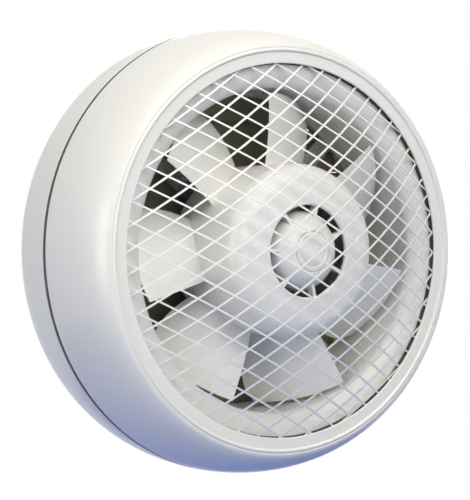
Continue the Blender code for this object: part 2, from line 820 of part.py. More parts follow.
def make_nut(steel):
    """A hexagon nut, chamfered where the cone cuts its corners."""
    rear = BOSS_FRONT + NUT_POCKET_DEPTH - WASHER_THICKNESS - 2.0 * SEAT_GAP
    front = rear - NUT_THICKNESS
    corner = NUT_ACROSS_FLATS / math.sqrt(3.0)
    outline = [(corner * math.cos(angle), corner * math.sin(angle)) for angle in around(6)]
    obj = piece("impeller_nut", plate(outline, front, rear), steel)
    cone = [
        (0.0, front),
        (NUT_ACROSS_FLATS / 2.0, front),
        (corner + SEAT_GAP, front + NUT_CHAMFER),
        (corner + SEAT_GAP, rear),
        (0.0, rear),
    ]
    combined(obj, spun(cone, SMALL_STEPS), "INTERSECT")
    bore = tube(0.0, SHAFT_RADIUS + SEAT_GAP, front - CUT_MARGIN, rear + CUT_MARGIN, SMALL_STEPS)
    combined(obj, bore, "DIFFERENCE")
    return obj


def make_rotor(steel):
    """The laminated rotor on the shaft, with its end rings."""
    outer = CORE_BORE_RADIUS - ROTOR_AIR_GAP
    bore = SHAFT_RADIUS + SEAT_GAP
    front = CORE_FRONT - ROTOR_RING_LENGTH
    rear = CORE_FRONT + CORE_LENGTH + ROTOR_RING_LENGTH
    profile = [
        (bore, front + ROTOR_RING_LENGTH),
        (ROTOR_RING_INNER, front + ROTOR_RING_LENGTH),
        (ROTOR_RING_INNER, front),
        (outer, front),
        (outer, rear),
        (ROTOR_RING_INNER, rear),
        (ROTOR_RING_INNER, rear - ROTOR_RING_LENGTH),
        (bore, rear - ROTOR_RING_LENGTH),
    ]
    return piece("rotor", spun(profile, SMALL_STEPS), steel)


def bearing_depths():
    """The front edge of each bearing."""
    return {
        "bearing_front": MOTOR_FRONT + BEARING_FRONT_INSET,
        "bearing_rear": MOTOR_REAR - BEARING_LENGTH - BEARING_REAR_INSET,
    }


def make_bearings(bronze):
    """Two plain sleeve bearings, their bores clear of the turning shaft."""
    bore = (SHAFT_RADIUS + RUNNING_GAP) / math.cos(math.pi / SMALL_STEPS)
    made = []
    for name, front in bearing_depths().items():
        shape = tube(bore, BEARING_RADIUS, front, front + BEARING_LENGTH, SMALL_STEPS)
        made.append(piece(name, shape, bronze))
    return made


def make_motor_covers(zinc):
    """Two cups that hold the bearings and close the motor's ends."""
    seat = BEARING_RADIUS + SEAT_GAP
    boss = seat + BEARING_HOUSING_WALL
    skirt = MOTOR_RADIUS - MOTOR_SKIRT_WALL
    corner = MOTOR_RADIUS - MOTOR_ROUND
    shaft_hole = COLLAR_RADIUS + COLLAR_CLEARANCE
    dome = MOTOR_FRONT + MOTOR_DOME
    front_bearing = bearing_depths()["bearing_front"]
    front_lip = front_bearing + BEARING_LENGTH - BEARING_LIP
    front_edge = CORE_FRONT - SEAT_GAP
    front_profile = [
        (shaft_hole, MOTOR_FRONT),
        (boss + MOTOR_DOME, MOTOR_FRONT),
        (corner, dome),
        (MOTOR_RADIUS, dome + MOTOR_ROUND),
        (MOTOR_RADIUS, front_edge),
        (skirt, front_edge),
        (skirt, dome + MOTOR_ROUND),
        (corner - MOTOR_DOME, dome + MOTOR_COVER_WALL),
        (boss, MOTOR_FRONT + MOTOR_COVER_WALL),
        (boss, front_lip),
        (seat, front_lip),
        (seat, front_bearing - SEAT_GAP),
        (shaft_hole, front_bearing - SEAT_GAP),
    ]
    rear_lip = bearing_depths()["bearing_rear"] + BEARING_LIP
    rear_edge = CORE_FRONT + CORE_LENGTH + SEAT_GAP
    rear_profile = [
        (MOTOR_RADIUS, rear_edge),
        (MOTOR_RADIUS, MOTOR_REAR - MOTOR_ROUND),
        (corner, MOTOR_REAR),
        (seat, MOTOR_REAR),
        (seat, rear_lip),
        (boss, rear_lip),
        (boss, MOTOR_REAR - MOTOR_COVER_WALL),
        (corner, MOTOR_REAR - MOTOR_COVER_WALL),
        (skirt, MOTOR_REAR - MOTOR_ROUND),
        (skirt, rear_edge),
    ]
    front = piece("motor_front_cover", spun(front_profile, MOTOR_STEPS), zinc)
    rear = piece("motor_rear_cover", spun(rear_profile, MOTOR_STEPS), zinc)
    holes = screw_holes(MOTOR_REAR - MOTOR_COVER_WALL, MOTOR_REAR, MOTOR_SCREW_CIRCLE)
    combined(rear, gathered(holes), "DIFFERENCE")
    return [front, rear]


def make_stator(steel, copper):
    """The laminated core with its teeth, and the winding that fills the slots."""
    core_rear = CORE_FRONT + CORE_LENGTH
    ring = tube(CORE_BACK_RADIUS, MOTOR_RADIUS, CORE_FRONT, core_rear, MOTOR_STEPS)
    core = piece("stator_core", ring, steel)
    tooth_start = CORE_BORE_RADIUS - CUT_MARGIN
    tooth_end = CORE_BACK_RADIUS + FUSE_LAP
    teeth = [
        turned(bar(tooth_start, tooth_end, TOOTH_WIDTH, CORE_FRONT, core_rear), angle)
        for angle in around(TOOTH_COUNT)
    ]
    combined(core, gathered(teeth), "UNION")
    bore = tube(0.0, CORE_BORE_RADIUS, CORE_FRONT - CUT_MARGIN, core_rear + CUT_MARGIN, MOTOR_STEPS)
    combined(core, bore, "DIFFERENCE")
    whole = tube(
        WINDING_INNER_RADIUS,
        WINDING_OUTER_RADIUS,
        CORE_FRONT - WINDING_OVERHANG,
        core_rear + WINDING_OVERHANG,
        MOTOR_STEPS,
    )
    winding = piece("stator_winding", whole, copper)
    slots = []
    for angle in around(TOOTH_COUNT):
        slot = bar(
            WINDING_INNER_RADIUS - CUT_MARGIN,
            WINDING_OUTER_RADIUS + CUT_MARGIN,
            TOOTH_WIDTH + 2.0 * SEAT_GAP,
            CORE_FRONT - SEAT_GAP,
            core_rear + SEAT_GAP,
        )
        slots.append(turned(slot, angle))
    combined(winding, gathered(slots), "DIFFERENCE")
    return [core, winding]


def make_bracket(steel):
    """A pressed spider: outer ring, four arms with raised edges, and the motor's plate."""
    front = WEB_DEPTH + WEB_THICKNESS + SEAT_GAP
    rear = front + BRACKET_THICKNESS
    ring_outer = THROAT_RADIUS + BRACKET_RING_WIDTH
    ring = tube(THROAT_RADIUS - BRACKET_LEDGE, ring_outer, front, rear, SHELL_STEPS)
    obj = piece("motor_bracket", ring, steel)
    middle = tube(BRACKET_HOLE_RADIUS, BRACKET_PLATE_RADIUS, front, rear, MOTOR_STEPS)
    arm_start = BRACKET_PLATE_RADIUS - 2.0 * FUSE_LAP
    arm_end = THROAT_RADIUS + 2.0 * FUSE_LAP
    arms = [
        turned(bar(arm_start, arm_end, BRACKET_ARM_WIDTH, front, rear), angle)
        for angle in around(BRACKET_ARM_COUNT, BRACKET_FIRST_ARM)
    ]
    combined(obj, gathered(arms), "UNION")
    combined(obj, middle, "UNION")
    holes = screw_holes(front, rear, frame_screw_circle())
    holes += screw_holes(front, rear, MOTOR_SCREW_CIRCLE)
    combined(obj, gathered(holes), "DIFFERENCE")
    return obj


def flap_pitch():
    """The flaps share the height between the top hinge and as far below the axis."""
    return 2.0 * (THROAT_RADIUS - FLAP_TOP_INSET) / FLAP_COUNT


def flap_hinges():
    """Each flap's name and the Z of its hinge, from the top down."""
    top = THROAT_RADIUS - FLAP_TOP_INSET
    return [(f"flap_{index + 1}", top - index * flap_pitch()) for index in range(FLAP_COUNT)]


def flap_half_width(height):
    """Half the length of a flap's barrel, clear of the ring above and below its hinge."""
    tallest = abs(height) + FLAP_BARREL_RADIUS
    return math.sqrt(THROAT_RADIUS**2 - tallest**2) - FLAP_EDGE_GAP


def hinge_depth():
    """The flaps turn about lines just behind the ring's rear face."""
    return SHUTTER_LIP_DEPTH + 2.0 * SEAT_GAP


def make_shutter_frame(dark):
    """The ring that the flaps close on: flange, lip, two end plates and hinge ears."""
    front = WEB_DEPTH + WEB_THICKNESS + BRACKET_THICKNESS + 2.0 * SEAT_GAP
    flange_rear = front + SHUTTER_FLANGE_THICKNESS
    lip_outer = THROAT_RADIUS + SHUTTER_LIP_WIDTH
    flange_outer = THROAT_RADIUS + BRACKET_RING_WIDTH
    profile = [
        (THROAT_RADIUS, front),
        (flange_outer, front),
        (flange_outer, flange_rear),
        (lip_outer, flange_rear),
        (lip_outer, SHUTTER_LIP_DEPTH),
        (THROAT_RADIUS, SHUTTER_LIP_DEPTH),
    ]
    obj = piece("shutter_frame", spun(profile, SHELL_STEPS), dark)
    top = THROAT_RADIUS - FLAP_TOP_INSET
    top_rear = hinge_depth() - FLAP_BARREL_RADIUS - FLAP_EDGE_GAP
    bottom = FLAP_BARREL_RADIUS + 2.0 * FLAP_EDGE_GAP - top
    radius = THROAT_RADIUS + SHUTTER_LIP_WIDTH / 2.0
    for edge, plate_rear in ((top, top_rear), (bottom, SHUTTER_LIP_DEPTH)):
        limit = math.acos(abs(edge) / radius)
        first = math.copysign(math.pi / 2.0, edge)
        outline = [
            (radius * math.cos(first + turn), radius * math.sin(first + turn))
            for turn in spaced(-limit, limit, 10)
        ]
        end_plate = plate(outline, plate_rear - SHUTTER_FLANGE_THICKNESS, plate_rear)
        combined(obj, end_plate, "UNION")
    ears = []
    bores = []
    centre = place(hinge_depth())
    for _name, height in flap_hinges():
        start = flap_half_width(height) + SEAT_GAP
        for side in (1, -1):
            ear = rod(EAR_RADIUS, EAR_WIDTH, PIN_STEPS)
            bore_radius = (FLAP_PIN_RADIUS + PIN_GAP) / math.cos(math.pi / PIN_STEPS)
            bore = rod(bore_radius, BORE_LEAD + FLAP_PIN_LENGTH + SEAT_GAP, PIN_STEPS)
            turn = Matrix.Rotation(0.0 if side > 0 else math.pi, 4, "Z")
            for shape, back in ((ear, 0.0), (bore, BORE_LEAD)):
                bmesh.ops.transform(shape, matrix=turn, verts=shape.verts)
                moved(shape, (side * (start - back), centre, height))
            ears.append(ear)
            bores.append(bore)
    combined(obj, gathered(ears), "UNION")
    combined(obj, gathered(bores), "DIFFERENCE")
    holes = screw_holes(front, flange_rear, frame_screw_circle())
    combined(obj, gathered(holes), "DIFFERENCE")
    return obj


def make_flap(name, height, dark):
    """One flap that hangs from its pins and closes on the ring."""
    half = flap_half_width(height)
    lap_radius = THROAT_RADIUS + FLAP_LAP
    notch = height - FLAP_NOTCH
    next_hinge = height - flap_pitch()
    bottom = next_hinge + FLAP_BARREL_RADIUS + FLAP_EDGE_GAP
    front = SHUTTER_LIP_DEPTH + SEAT_GAP
    edge = [
        (math.sqrt(lap_radius**2 - level**2), level)
        for level in spaced(notch, next_hinge + EAR_RADIUS + FLAP_EDGE_GAP, 5)
    ]
    foot = min(flap_half_width(next_hinge), edge[-1][0] - FLAP_EDGE_GAP)
    right = [(half, height), (half, notch)] + edge + [(foot, edge[-1][1]), (foot, bottom)]
    left = [(-x, z) for x, z in reversed(right)]
    obj = piece(name, plate(right + left, front, front + FLAP_THICKNESS), dark)
    centre = place(hinge_depth())
    barrel = moved(rod(FLAP_BARREL_RADIUS, 2.0 * half, PIN_STEPS), (-half, centre, height))
    combined(obj, barrel, "UNION")
    reach = half + FLAP_PIN_LENGTH
    pin = moved(rod(FLAP_PIN_RADIUS, 2.0 * reach, PIN_STEPS), (-reach, centre, height))
    combined(obj, pin, "UNION")
    origin = Matrix.Translation((0.0, -centre, -height))
    obj.data.transform(origin)
    obj.location = (0.0, centre, height)
    return obj


def make_screw(name, head_depth, length, circle, angle, steel):
    """A round-headed screw along -Y whose head lies behind its seat."""
    head_rear = head_depth + SCREW_HEAD_HEIGHT
    profile = [
        (0.0, head_depth - length),
        (SCREW_RADIUS, head_depth - length),
        (SCREW_RADIUS, head_depth),
        (SCREW_HEAD_RADIUS, head_depth),
        (SCREW_HEAD_RADIUS - SCREW_HEAD_CHAMFER, head_rear),
        (0.0, head_rear),
    ]
    shape = turned(moved(spun(profile, PIN_STEPS), (circle, 0.0, 0.0)), angle)
    return piece(name, shape, steel)


def make_screws(steel):
    """Four screws through the shutter, bracket and web, and four that hold the motor."""
    bracket_rear = WEB_DEPTH + WEB_THICKNESS + BRACKET_THICKNESS + SEAT_GAP
    flange_rear = bracket_rear + SEAT_GAP + SHUTTER_FLANGE_THICKNESS
    made = []
    for index, angle in enumerate(around(BRACKET_ARM_COUNT, BRACKET_FIRST_ARM)):
        seat = flange_rear + SEAT_GAP
        length = seat - WEB_DEPTH + FRAME_SCREW_END
        name = f"frame_screw_{index + 1}"
        made.append(make_screw(name, seat, length, frame_screw_circle(), angle, steel))
        seat = bracket_rear + SEAT_GAP
        length = seat - MOTOR_REAR + MOTOR_SCREW_GRIP
        name = f"motor_screw_{index + 1}"
        made.append(make_screw(name, seat, length, MOTOR_SCREW_CIRCLE, angle, steel))
    return made


def make_terminal_block(grey):
    """A moulded block on the web's front, with a funnel for each wire."""
    length, height, depth = TERMINAL_SIZE
    circle = terminal_circle()
    rear = WEB_DEPTH - SEAT_GAP
    block = bar(circle - height / 2.0, circle + height / 2.0, length, rear - depth, rear)
    obj = piece("terminal_block", turned(block, TERMINAL_ANGLE), grey)
    pitch = length / TERMINAL_WAYS
    for index in range(TERMINAL_WAYS):
        across = (index - (TERMINAL_WAYS - 1) / 2.0) * pitch
        front = rear - depth - CUT_MARGIN
        well = tube(0.0, TERMINAL_WELL_RADIUS, front, rear - depth / 2.0, PIN_STEPS)
        well = moved(well, (circle, 0.0, across))
        combined(obj, turned(well, TERMINAL_ANGLE), "DIFFERENCE")
    return obj


def make_grommet(rubber):
    """The rubber bush in the web that the supply comes in through."""
    web_rear = WEB_DEPTH + WEB_THICKNESS
    flange_front = WEB_DEPTH - SEAT_GAP
    flange_rear = web_rear + SEAT_GAP
    profile = [
        (GROMMET_BORE_RADIUS, flange_front - GROMMET_FLANGE_THICKNESS),
        (GROMMET_FLANGE_RADIUS, flange_front - GROMMET_FLANGE_THICKNESS),
        (GROMMET_FLANGE_RADIUS, flange_front),
        (GROMMET_NECK_RADIUS, flange_front),
        (GROMMET_NECK_RADIUS, flange_rear),
        (GROMMET_FLANGE_RADIUS, flange_rear),
        (GROMMET_FLANGE_RADIUS, flange_rear + GROMMET_FLANGE_THICKNESS),
        (GROMMET_BORE_RADIUS, flange_rear + GROMMET_FLANGE_THICKNESS),
    ]
    shape = moved(spun(profile, PIN_STEPS), (grommet_circle(), 0.0, 0.0))
    return piece("cable_grommet", turned(shape, GROMMET_ANGLE), rubber)


def empty(name, location):
    """An unseen axis that moving pieces hang on."""
    obj = bpy.data.objects.new(name, None)
    bpy.context.scene.collection.objects.link(obj)
    obj.location = location
    bpy.context.view_layer.update()
    return obj


def main():
    for obj in list(bpy.data.objects):
        bpy.data.objects.remove(obj)
    white = finish("white_plastic", (0.80, 0.79, 0.75), 0.35)
    blade_white = finish("impeller_plastic", (0.82, 0.82, 0.79), 0.40)
    white_metal = finish("painted_mesh", (0.84, 0.83, 0.81), 0.45)
    steel = finish("bright_steel", (0.60, 0.60, 0.60), 0.30, 1.0)
    lamination = finish("lamination_steel", (0.30, 0.30, 0.31), 0.50, 1.0)
    zinc = finish("cast_metal", (0.55, 0.56, 0.57), 0.45, 1.0)
    bronze = finish("bearing_bronze", (0.55, 0.38, 0.18), 0.40, 1.0)
    copper = finish("winding_copper", (0.55, 0.22, 0.09), 0.45, 1.0)
    shutter_grey = finish("shutter_plastic", (0.16, 0.15, 0.11), 0.55)
    rubber = finish("black_rubber", (0.03, 0.03, 0.03), 0.70)

    make_front_cover(white)
    make_inlet_ring(white)
    make_rear_casing(white)
    make_guard(white_metal)
    make_bracket(steel)
    make_shutter_frame(shutter_grey)
    make_motor_covers(zinc)
    make_stator(lamination, copper)
    make_bearings(bronze)
    make_terminal_block(white)
    make_grommet(rubber)
    make_screws(steel)
    spinning = [
        make_impeller(blade_white),
        make_boss_cap(blade_white),
        make_shaft(steel),
        make_washer(steel),
        make_nut(steel),
        make_rotor(lamination),
    ]
    axis = empty("impeller_axis", (0.0, place(0.0), 0.0))
    for obj in spinning:
        hung_on(obj, axis)
    for name, height in flap_hinges():
        make_flap(name, height, shutter_grey)
    for obj in bpy.data.objects:
        if obj.type == "MESH":
            shade(obj)


main()
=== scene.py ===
"""Surfaces, finishes and studio for a round axial extractor fan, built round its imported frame.

X is to the right, Y runs from the room towards the wall and Z is up, all in metres. A place along
the fan's axis is given as a depth behind the plane of the front opening.
"""

import json
import math

import bmesh
import bpy
from bpy.props import FloatProperty, FloatVectorProperty, IntProperty, PointerProperty
from mathutils import Matrix, Vector


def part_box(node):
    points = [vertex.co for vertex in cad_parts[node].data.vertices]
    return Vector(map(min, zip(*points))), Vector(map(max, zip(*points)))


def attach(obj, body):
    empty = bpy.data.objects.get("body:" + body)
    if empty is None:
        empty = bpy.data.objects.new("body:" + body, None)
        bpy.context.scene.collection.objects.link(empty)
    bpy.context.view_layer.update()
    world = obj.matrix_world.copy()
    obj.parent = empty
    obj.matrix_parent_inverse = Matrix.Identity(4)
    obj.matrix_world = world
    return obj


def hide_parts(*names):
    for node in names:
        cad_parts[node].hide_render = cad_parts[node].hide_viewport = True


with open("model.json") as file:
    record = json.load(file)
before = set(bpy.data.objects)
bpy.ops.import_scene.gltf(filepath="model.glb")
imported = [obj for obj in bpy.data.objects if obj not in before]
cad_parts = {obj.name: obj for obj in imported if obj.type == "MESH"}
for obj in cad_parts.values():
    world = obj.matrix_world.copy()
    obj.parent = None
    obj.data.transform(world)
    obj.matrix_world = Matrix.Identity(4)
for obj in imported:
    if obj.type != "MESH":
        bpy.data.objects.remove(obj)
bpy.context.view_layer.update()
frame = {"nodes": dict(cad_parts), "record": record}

bl_info = {
    "name": "Axial Extractor Fan",
    "version": (1, 0, 0),
    "blender": (4, 5, 0),
    "location": "3D View > Sidebar > Fan",
    "description": "Smooth mouldings, mesh guard, finishes and studio of a wall fan",
    "category": "Object",
}

COVER_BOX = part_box("front_cover")
FRONT = COVER_BOX[0].y
HOUSING_RADIUS = COVER_BOX[1].x
MERGE_DISTANCE = 1e-7
EIGHTH = math.tau / 8.0
SEAT_GAP = 0.0003

# Steps round the fan's axis.
SHELL_STEPS = 240
BELL_STEPS = 200
HUB_STEPS = 196
GUARD_STEPS = 160
BOSS_STEPS = 96
HOLE_STEPS = 40
SCREW_HOLE_STEPS = 32

# Where the bead's arc ends, and where the inner sides of cover and casing start and end.
BEAD_END = math.radians(25.0)
INNER_START = 0.008
INNER_END = 0.006

# Roundings of edges, the share of an edge that one may take, how far a cutter passes a wall, and
# how far before or after the seam a shell's curve ends.
FINE_ROUND = 0.0002
THIN_ROUND = 0.0003
EDGE_ROUND = 0.0004
WALL_ROUND = 0.0005
RIM_ROUND = 0.0006
LIP_ROUND = 0.0007
SOFT_ROUND = 0.0010
WEB_ROUND = 0.0012
LUG_BEVEL = 0.0008
CORNER_REACH = 0.49
CUT_PAST = 0.002
SEAM_SHORT = 0.0008

# The blade's form: where its tip starts to round off, its edges' thickness and how it thins out.
TIP_ROUND_START = 0.8
EDGE_THICKNESS = 0.35
EDGE_POWER = 0.7
TIP_THINNING = 0.35

# The hub: where its shoulder starts, how flat that is, how far its face bulges, the edge round its
# recess, and how far the cap stands out of the boss.
SHOULDER_START = math.radians(12.0)
SHOULDER_FLATNESS = 0.9
HUB_CROWN = 0.0014
RECESS_EDGE_WIDTH = 0.0008
RECESS_EDGE_DEPTH = 0.0006
CAP_PROUD = 0.0006

# The levels of a noise that are spread over a finish's range, and the height of a fine bump.
NOISE_LOW = 0.3
NOISE_HIGH = 0.7
FINE_BUMP = 0.0002
AGED_TINT = (0.985, 0.975, 0.94)

# The studio: the depth that the lamps aim at, and how white and how rough the floor is.
AIM_DEPTH = 0.03
FLOOR_WHITE = 0.85
FLOOR_ROUGHNESS = 0.7


def number(name, description, default, **kind):
    """A number that a user can change."""
    return FloatProperty(name=name, description=description, default=default, **kind)


def length(name, description, default):
    """A size in metres that a user can change."""
    return number(name, description, default, unit="LENGTH", precision=5)


def angle(name, description, degrees):
    """An angle that a user can change."""
    return number(name, description, math.radians(degrees), subtype="ANGLE")


def share(name, description, default):
    """A share from 0 to 1 that a user can change."""
    return number(name, description, default, min=0.0, max=1.0)


def colour(name, description, default):
    """A colour that a user can change."""
    return FloatVectorProperty(
        name=name,
        description=description,
        default=default,
        min=0.0,
        max=1.0,
        size=3,
        subtype="COLOR",
    )


def count(name, description, default):
    """A whole number that a user can change."""
    return IntProperty(name=name, description=description, default=default, min=1)


class HousingSizes(bpy.types.PropertyGroup):
    """Sizes of the front cover, the rear casing and the inlet ring."""

    depth: length("Depth", "From the front opening's plane to the wall", -FRONT)
    cover_wall: length("Cover wall", "Wall of the front cover", 0.0025)
    crest_radius: length("Crest radius", "Radius where the cover's side begins", 0.127)
    bulge_length: length("Bulge length", "Depth at which the housing is widest", 0.060)
    bulge_power: number("Bulge power", "Fullness of the bulged side", 1.8)
    seam_depth: length("Seam depth", "Depth of the seam between cover and casing", 0.052)
    seam_width: length("Seam width", "Open width of the seam", 0.0036)
    # The seam's black ring is painted shade; this sets how far below the seam's edges it lies.
    seam_shade_inset: length("Seal inset", "How far the dark seal lies below the seam's edges", 0.0003)
    seam_round: length("Seam rounding", "Rounding of the seam's two edges", 0.0002)
    opening_radius: length("Opening radius", "Radius of the front opening", 0.118)
    lip_thickness: length("Lip thickness", "Thickness of the flat lip", 0.0024)
    bead_radius: length("Bead radius", "Radius of the bead round the lip", 0.0012)
    spigot_length: length("Spigot length", "How far the casing reaches into the cover", 0.006)
    spigot_wall: length("Spigot wall", "Wall of the casing's spigot", 0.0018)
    casing_wall: length("Casing wall", "Wall of the rear casing", 0.0026)
    rear_radius: length("Rear radius", "Radius of the edge that meets the wall", 0.133)
    rear_width: length("Rear width", "Width of the edge that meets the wall", 0.0045)
    rear_start: length("Rear curve start", "Depth where the casing starts to draw in", 0.058)
    rear_power: number("Rear power", "Sharpness of the rear curve", 2.6)
    web_depth: length("Web depth", "Depth of the web between skirt and duct", 0.060)
    web_thickness: length("Web thickness", "Thickness of that web", 0.0025)
    duct_wall: length("Duct wall", "Wall of the duct tube", 0.0022)
    sleeve_length: length("Sleeve length", "How far the duct's sleeve holds the inlet ring", 0.008)
    throat_radius: length("Throat radius", "Inner radius of the inlet ring", 0.1033)
    throat_depth: length("Throat depth", "Depth where the bell mouth ends", 0.0145)
    inlet_wall: length("Inlet wall", "Wall of the inlet ring", 0.0020)
    inlet_length: length("Inlet length", "Depth of the inlet ring's rear edge", 0.036)
    inlet_flange: length("Inlet flange", "Width of the inlet ring's flange", 0.0075)
    lug_width: length("Lug width", "Width of a wall lug", 0.022)
    lug_thickness: length("Lug thickness", "Thickness of a wall lug", 0.0036)
    lug_reach: length("Lug reach", "How far a wall lug reaches inwards", 0.019)
    lug_hole: length("Lug hole", "Radius of a wall lug's hole", 0.0026)
    screw_hole: length("Screw hole", "Radius of the frame screws' holes", 0.0022)
    screw_circle: length("Screw circle", "Radius of the frame screws' circle", 0.1102)
    entry_circle: length("Entry circle", "Distance of the cable entry from the axis", 0.12745)
    entry_radius: length("Entry radius", "Radius of the cable entry's hole", 0.0051)


class GuardSizes(bpy.types.PropertyGroup):
    """Sizes of the expanded mesh guard."""

    long_pitch: length("Long pitch", "Length of a diamond from corner to corner", 0.0219)
    short_pitch: length("Short pitch", "Height of a diamond from corner to corner", 0.0134)
    tilt: angle("Tilt", "Turn of the diamonds' long axis", 3.5)
    offset_x: length("Offset X", "Sideways place of a diamond's corner", -0.0135)
    offset_z: length("Offset Z", "Height of a diamond's corner", 0.0031)
    rise: length("Rise", "Height of the dome", 0.0315)
    dome_power: number("Dome power", "Power of the dome's curve", 2.05)
    strand_width: length("Strand width", "Width of a strand", 0.0010)
    strand_thickness: length("Strand thickness", "Thickness of the sheet", 0.0009)
    rim_width: length("Rim width", "Width of the flat rim", 0.0039)
    slot_height: length("Slot height", "Gap between the rim and the bell mouth", 0.0010)
    # The black ring behind the lip is painted shade; this sets how far it shows inside the opening.
    lip_shade_proud: length("Gasket proud", "How far the dark gasket shows inside the lip", 0.0005)
    rim_thickness: length("Rim thickness", "Thickness of the flat rim", 0.0014)
    rim_hidden: length("Rim hidden", "How far the rim lies back behind the lip", 0.0030)
    strand_lap: length("Strand lap", "How far strands run on over the rim", 0.0005)


class ImpellerSizes(bpy.types.PropertyGroup):
    """Sizes of the impeller and its cap."""

    blade_count: count("Blades", "Number of blades", 7)
    tip_radius: length("Tip radius", "Radius of the blades' tips", 0.1002)
    thickness: length("Blade thickness", "Thickness at a blade's middle", 0.0022)
    camber: length("Camber", "Height of a blade's camber", 0.0030)
    phase: angle("Phase", "Angle of the first blade's leading edge", 43.4)
    root_lag: angle("Root lag", "How far the leading edge leans at the hub", 2.1)
    root_spread: angle("Root spread", "Angle that a blade spans at the hub", 40.5)
    tip_spread: angle("Tip spread", "Angle that a blade spans at its tip", 30.0)
    tip_trim: share("Tip trim", "How far the trailing corner is rounded off", 0.06)
    front_tip: length("Front at tip", "Depth of the leading edge at the tip", 0.013)
    front_root: length("Front at root", "Depth of the leading edge at the hub", 0.020)
    rear_tip: length("Rear at tip", "Depth of the trailing edge at the tip", 0.0452)
    rear_root: length("Rear at root", "Depth of the trailing edge at the hub", 0.0385)
    hub_radius: length("Hub radius", "Radius of the hub", 0.0548)
    hub_wall: length("Hub wall", "Wall of the hub", 0.0022)
    hub_front: length("Hub front", "Depth of the hub's front, before the opening's plane", -0.019)
    hub_rear: length("Hub rear", "Depth of the hub's rear edge", 0.053)
    shoulder: length("Shoulder", "Rounding of the hub's shoulder", 0.0135)
    recess_radius: length("Recess radius", "Radius of the round recess", 0.0288)
    rib_count: count("Ribs", "Number of ribs in the recess", 7)
    rib_phase: angle("Rib phase", "Angle of the first rib", -27.5)
    rib_thickness: length("Rib thickness", "Thickness of a rib", 0.0020)
    rib_depth: length("Rib depth", "Depth of a rib along the axis", 0.0060)
    rib_setback: length("Rib setback", "From the hub's front to the ribs", 0.0012)
    rib_root: length("Rib root", "How far a rib runs into boss and hub", 0.0055)
    boss_radius: length("Boss radius", "Radius of the domed boss", 0.0254)
    boss_front: length("Boss front", "Depth of the boss's face", -0.0230)
    boss_rim: length("Boss rim", "Width of the flat edge round the cap", 0.0006)
    boss_floor: length("Boss floor", "Steps in the boss's underside", 0.002)
    boss_power: number("Boss power", "Power of the boss's dome", 1.25)
    boss_rear: length("Boss rear", "Depth of the boss's rear end", 0.012)
    bore_radius: length("Bore radius", "Radius of the shaft's hole", 0.0043)
    pocket_radius: length("Pocket radius", "Radius of the nut's pocket", 0.0092)
    pocket_depth: length("Pocket depth", "Depth of the nut's pocket", 0.013)
    cap_radius: length("Cap radius", "Radius of the round cap", 0.0123)
    cap_thickness: length("Cap thickness", "Thickness of the round cap", 0.0024)


class FinishColours(bpy.types.PropertyGroup):
    """Colours of the fan's surfaces."""

    housing: colour("Housing", "Warm white moulded plastic", (0.82, 0.81, 0.775))
    impeller: colour("Impeller", "Satin white moulded plastic", (0.84, 0.84, 0.81))
    guard: colour("Guard", "White paint on the mesh", (0.88, 0.87, 0.86))
    # Painted shade: the shutter's dark olive grey stands for the shadow that lies deep in the duct
    # on its flaps.
    shutter: colour("Shutter", "Olive grey moulded plastic", (0.25, 0.235, 0.16))
    steel: colour("Steel", "Zinc plated steel", (0.60, 0.60, 0.60))
    lamination: colour("Laminations", "Bare electrical steel", (0.28, 0.28, 0.29))
    casting: colour("Casting", "Cast motor covers", (0.52, 0.53, 0.54))
    bronze: colour("Bronze", "Sintered bearings", (0.55, 0.38, 0.18))
    copper: colour("Copper", "Varnished winding", (0.55, 0.22, 0.09))
    # Real black rubber for the cable bush; the same black paints the shade of the seam's ring and
    # the lip's ring.
    rubber: colour("Rubber", "Cable bush, seam seal and gasket", (0.05, 0.046, 0.036))


class StudioSettings(bpy.types.PropertyGroup):
    """The floor, the lights and the camera."""

    floor_height: length("Floor height", "Height of the floor", -0.9)
    floor_size: length("Floor size", "Width of the floor", 3.0)
    floor_colour: colour("Floor colour", "Light that the floor sends back", (0.18, 0.26, 0.64))
    sky_strength: number("Sky strength", "Strength of the even light", 0.17)
    sky_colour: colour("Sky colour", "Colour of the even light", (0.42, 0.62, 1.00))
    side_power: number("Side power", "Left lamp in watts", 13.4)
    top_power: number("Top power", "Lamp above in watts", 3.2)
    high_power: number("High power", "High front lamp in watts", 32.0)
    fill_power: number("Fill power", "Front lamp in watts", 7.5)
    back_power: number("Back power", "Rear lamp in watts", 20.0)
    lamp_colour: colour("Lamp colour", "Colour of the lamps", (1.0, 0.96, 0.87))
    lens: number("Lens", "Focal length in millimetres", 115.2)
    azimuth: angle("Azimuth", "Camera's turn about the upright axis", -33.198)
    elevation: angle("Elevation", "Camera's height angle", 0.959)
    distance: length("Distance", "From the camera to the opening's middle", 1.0081)
    shift_right: length("Shift right", "The opening's place right of the view's centre", 0.03554)
    shift_up: length("Shift up", "The opening's place above the view's centre", -0.00051)


def at(depth):
    """The Y of a depth behind the opening's plane."""
    return FRONT + depth


def spaced(first, last, steps, power=1.0):
    """Numbers from first to last, set closer at the start where the power is above 1."""
    return [first + (last - first) * (index / steps) ** power for index in range(steps + 1)]


def around(number, first=0.0):
    """Equally spaced angles."""
    return [first + math.tau * index / number for index in range(number)]


def softened(corners, steps=5):
    """A closed outline of points from (radius, depth, rounding) corners."""
    outline = []
    for index, (radius, depth, rounding) in enumerate(corners):
        here = Vector((radius, depth))
        if rounding <= 0.0:
            outline.append(here)
            continue
        before = Vector(corners[index - 1][:2]) - here
        after = Vector(corners[(index + 1) % len(corners)][:2]) - here
        reach = rounding / math.tan(before.angle(after) / 2.0)
        reach = min(reach, before.length * CORNER_REACH, after.length * CORNER_REACH)
        start = here + before.normalized() * reach
        end = here + after.normalized() * reach
        for along in spaced(0.0, 1.0, steps):
            outline.append(
                start * (1.0 - along) ** 2 + here * 2.0 * along * (1.0 - along) + end * along**2
            )
    return outline


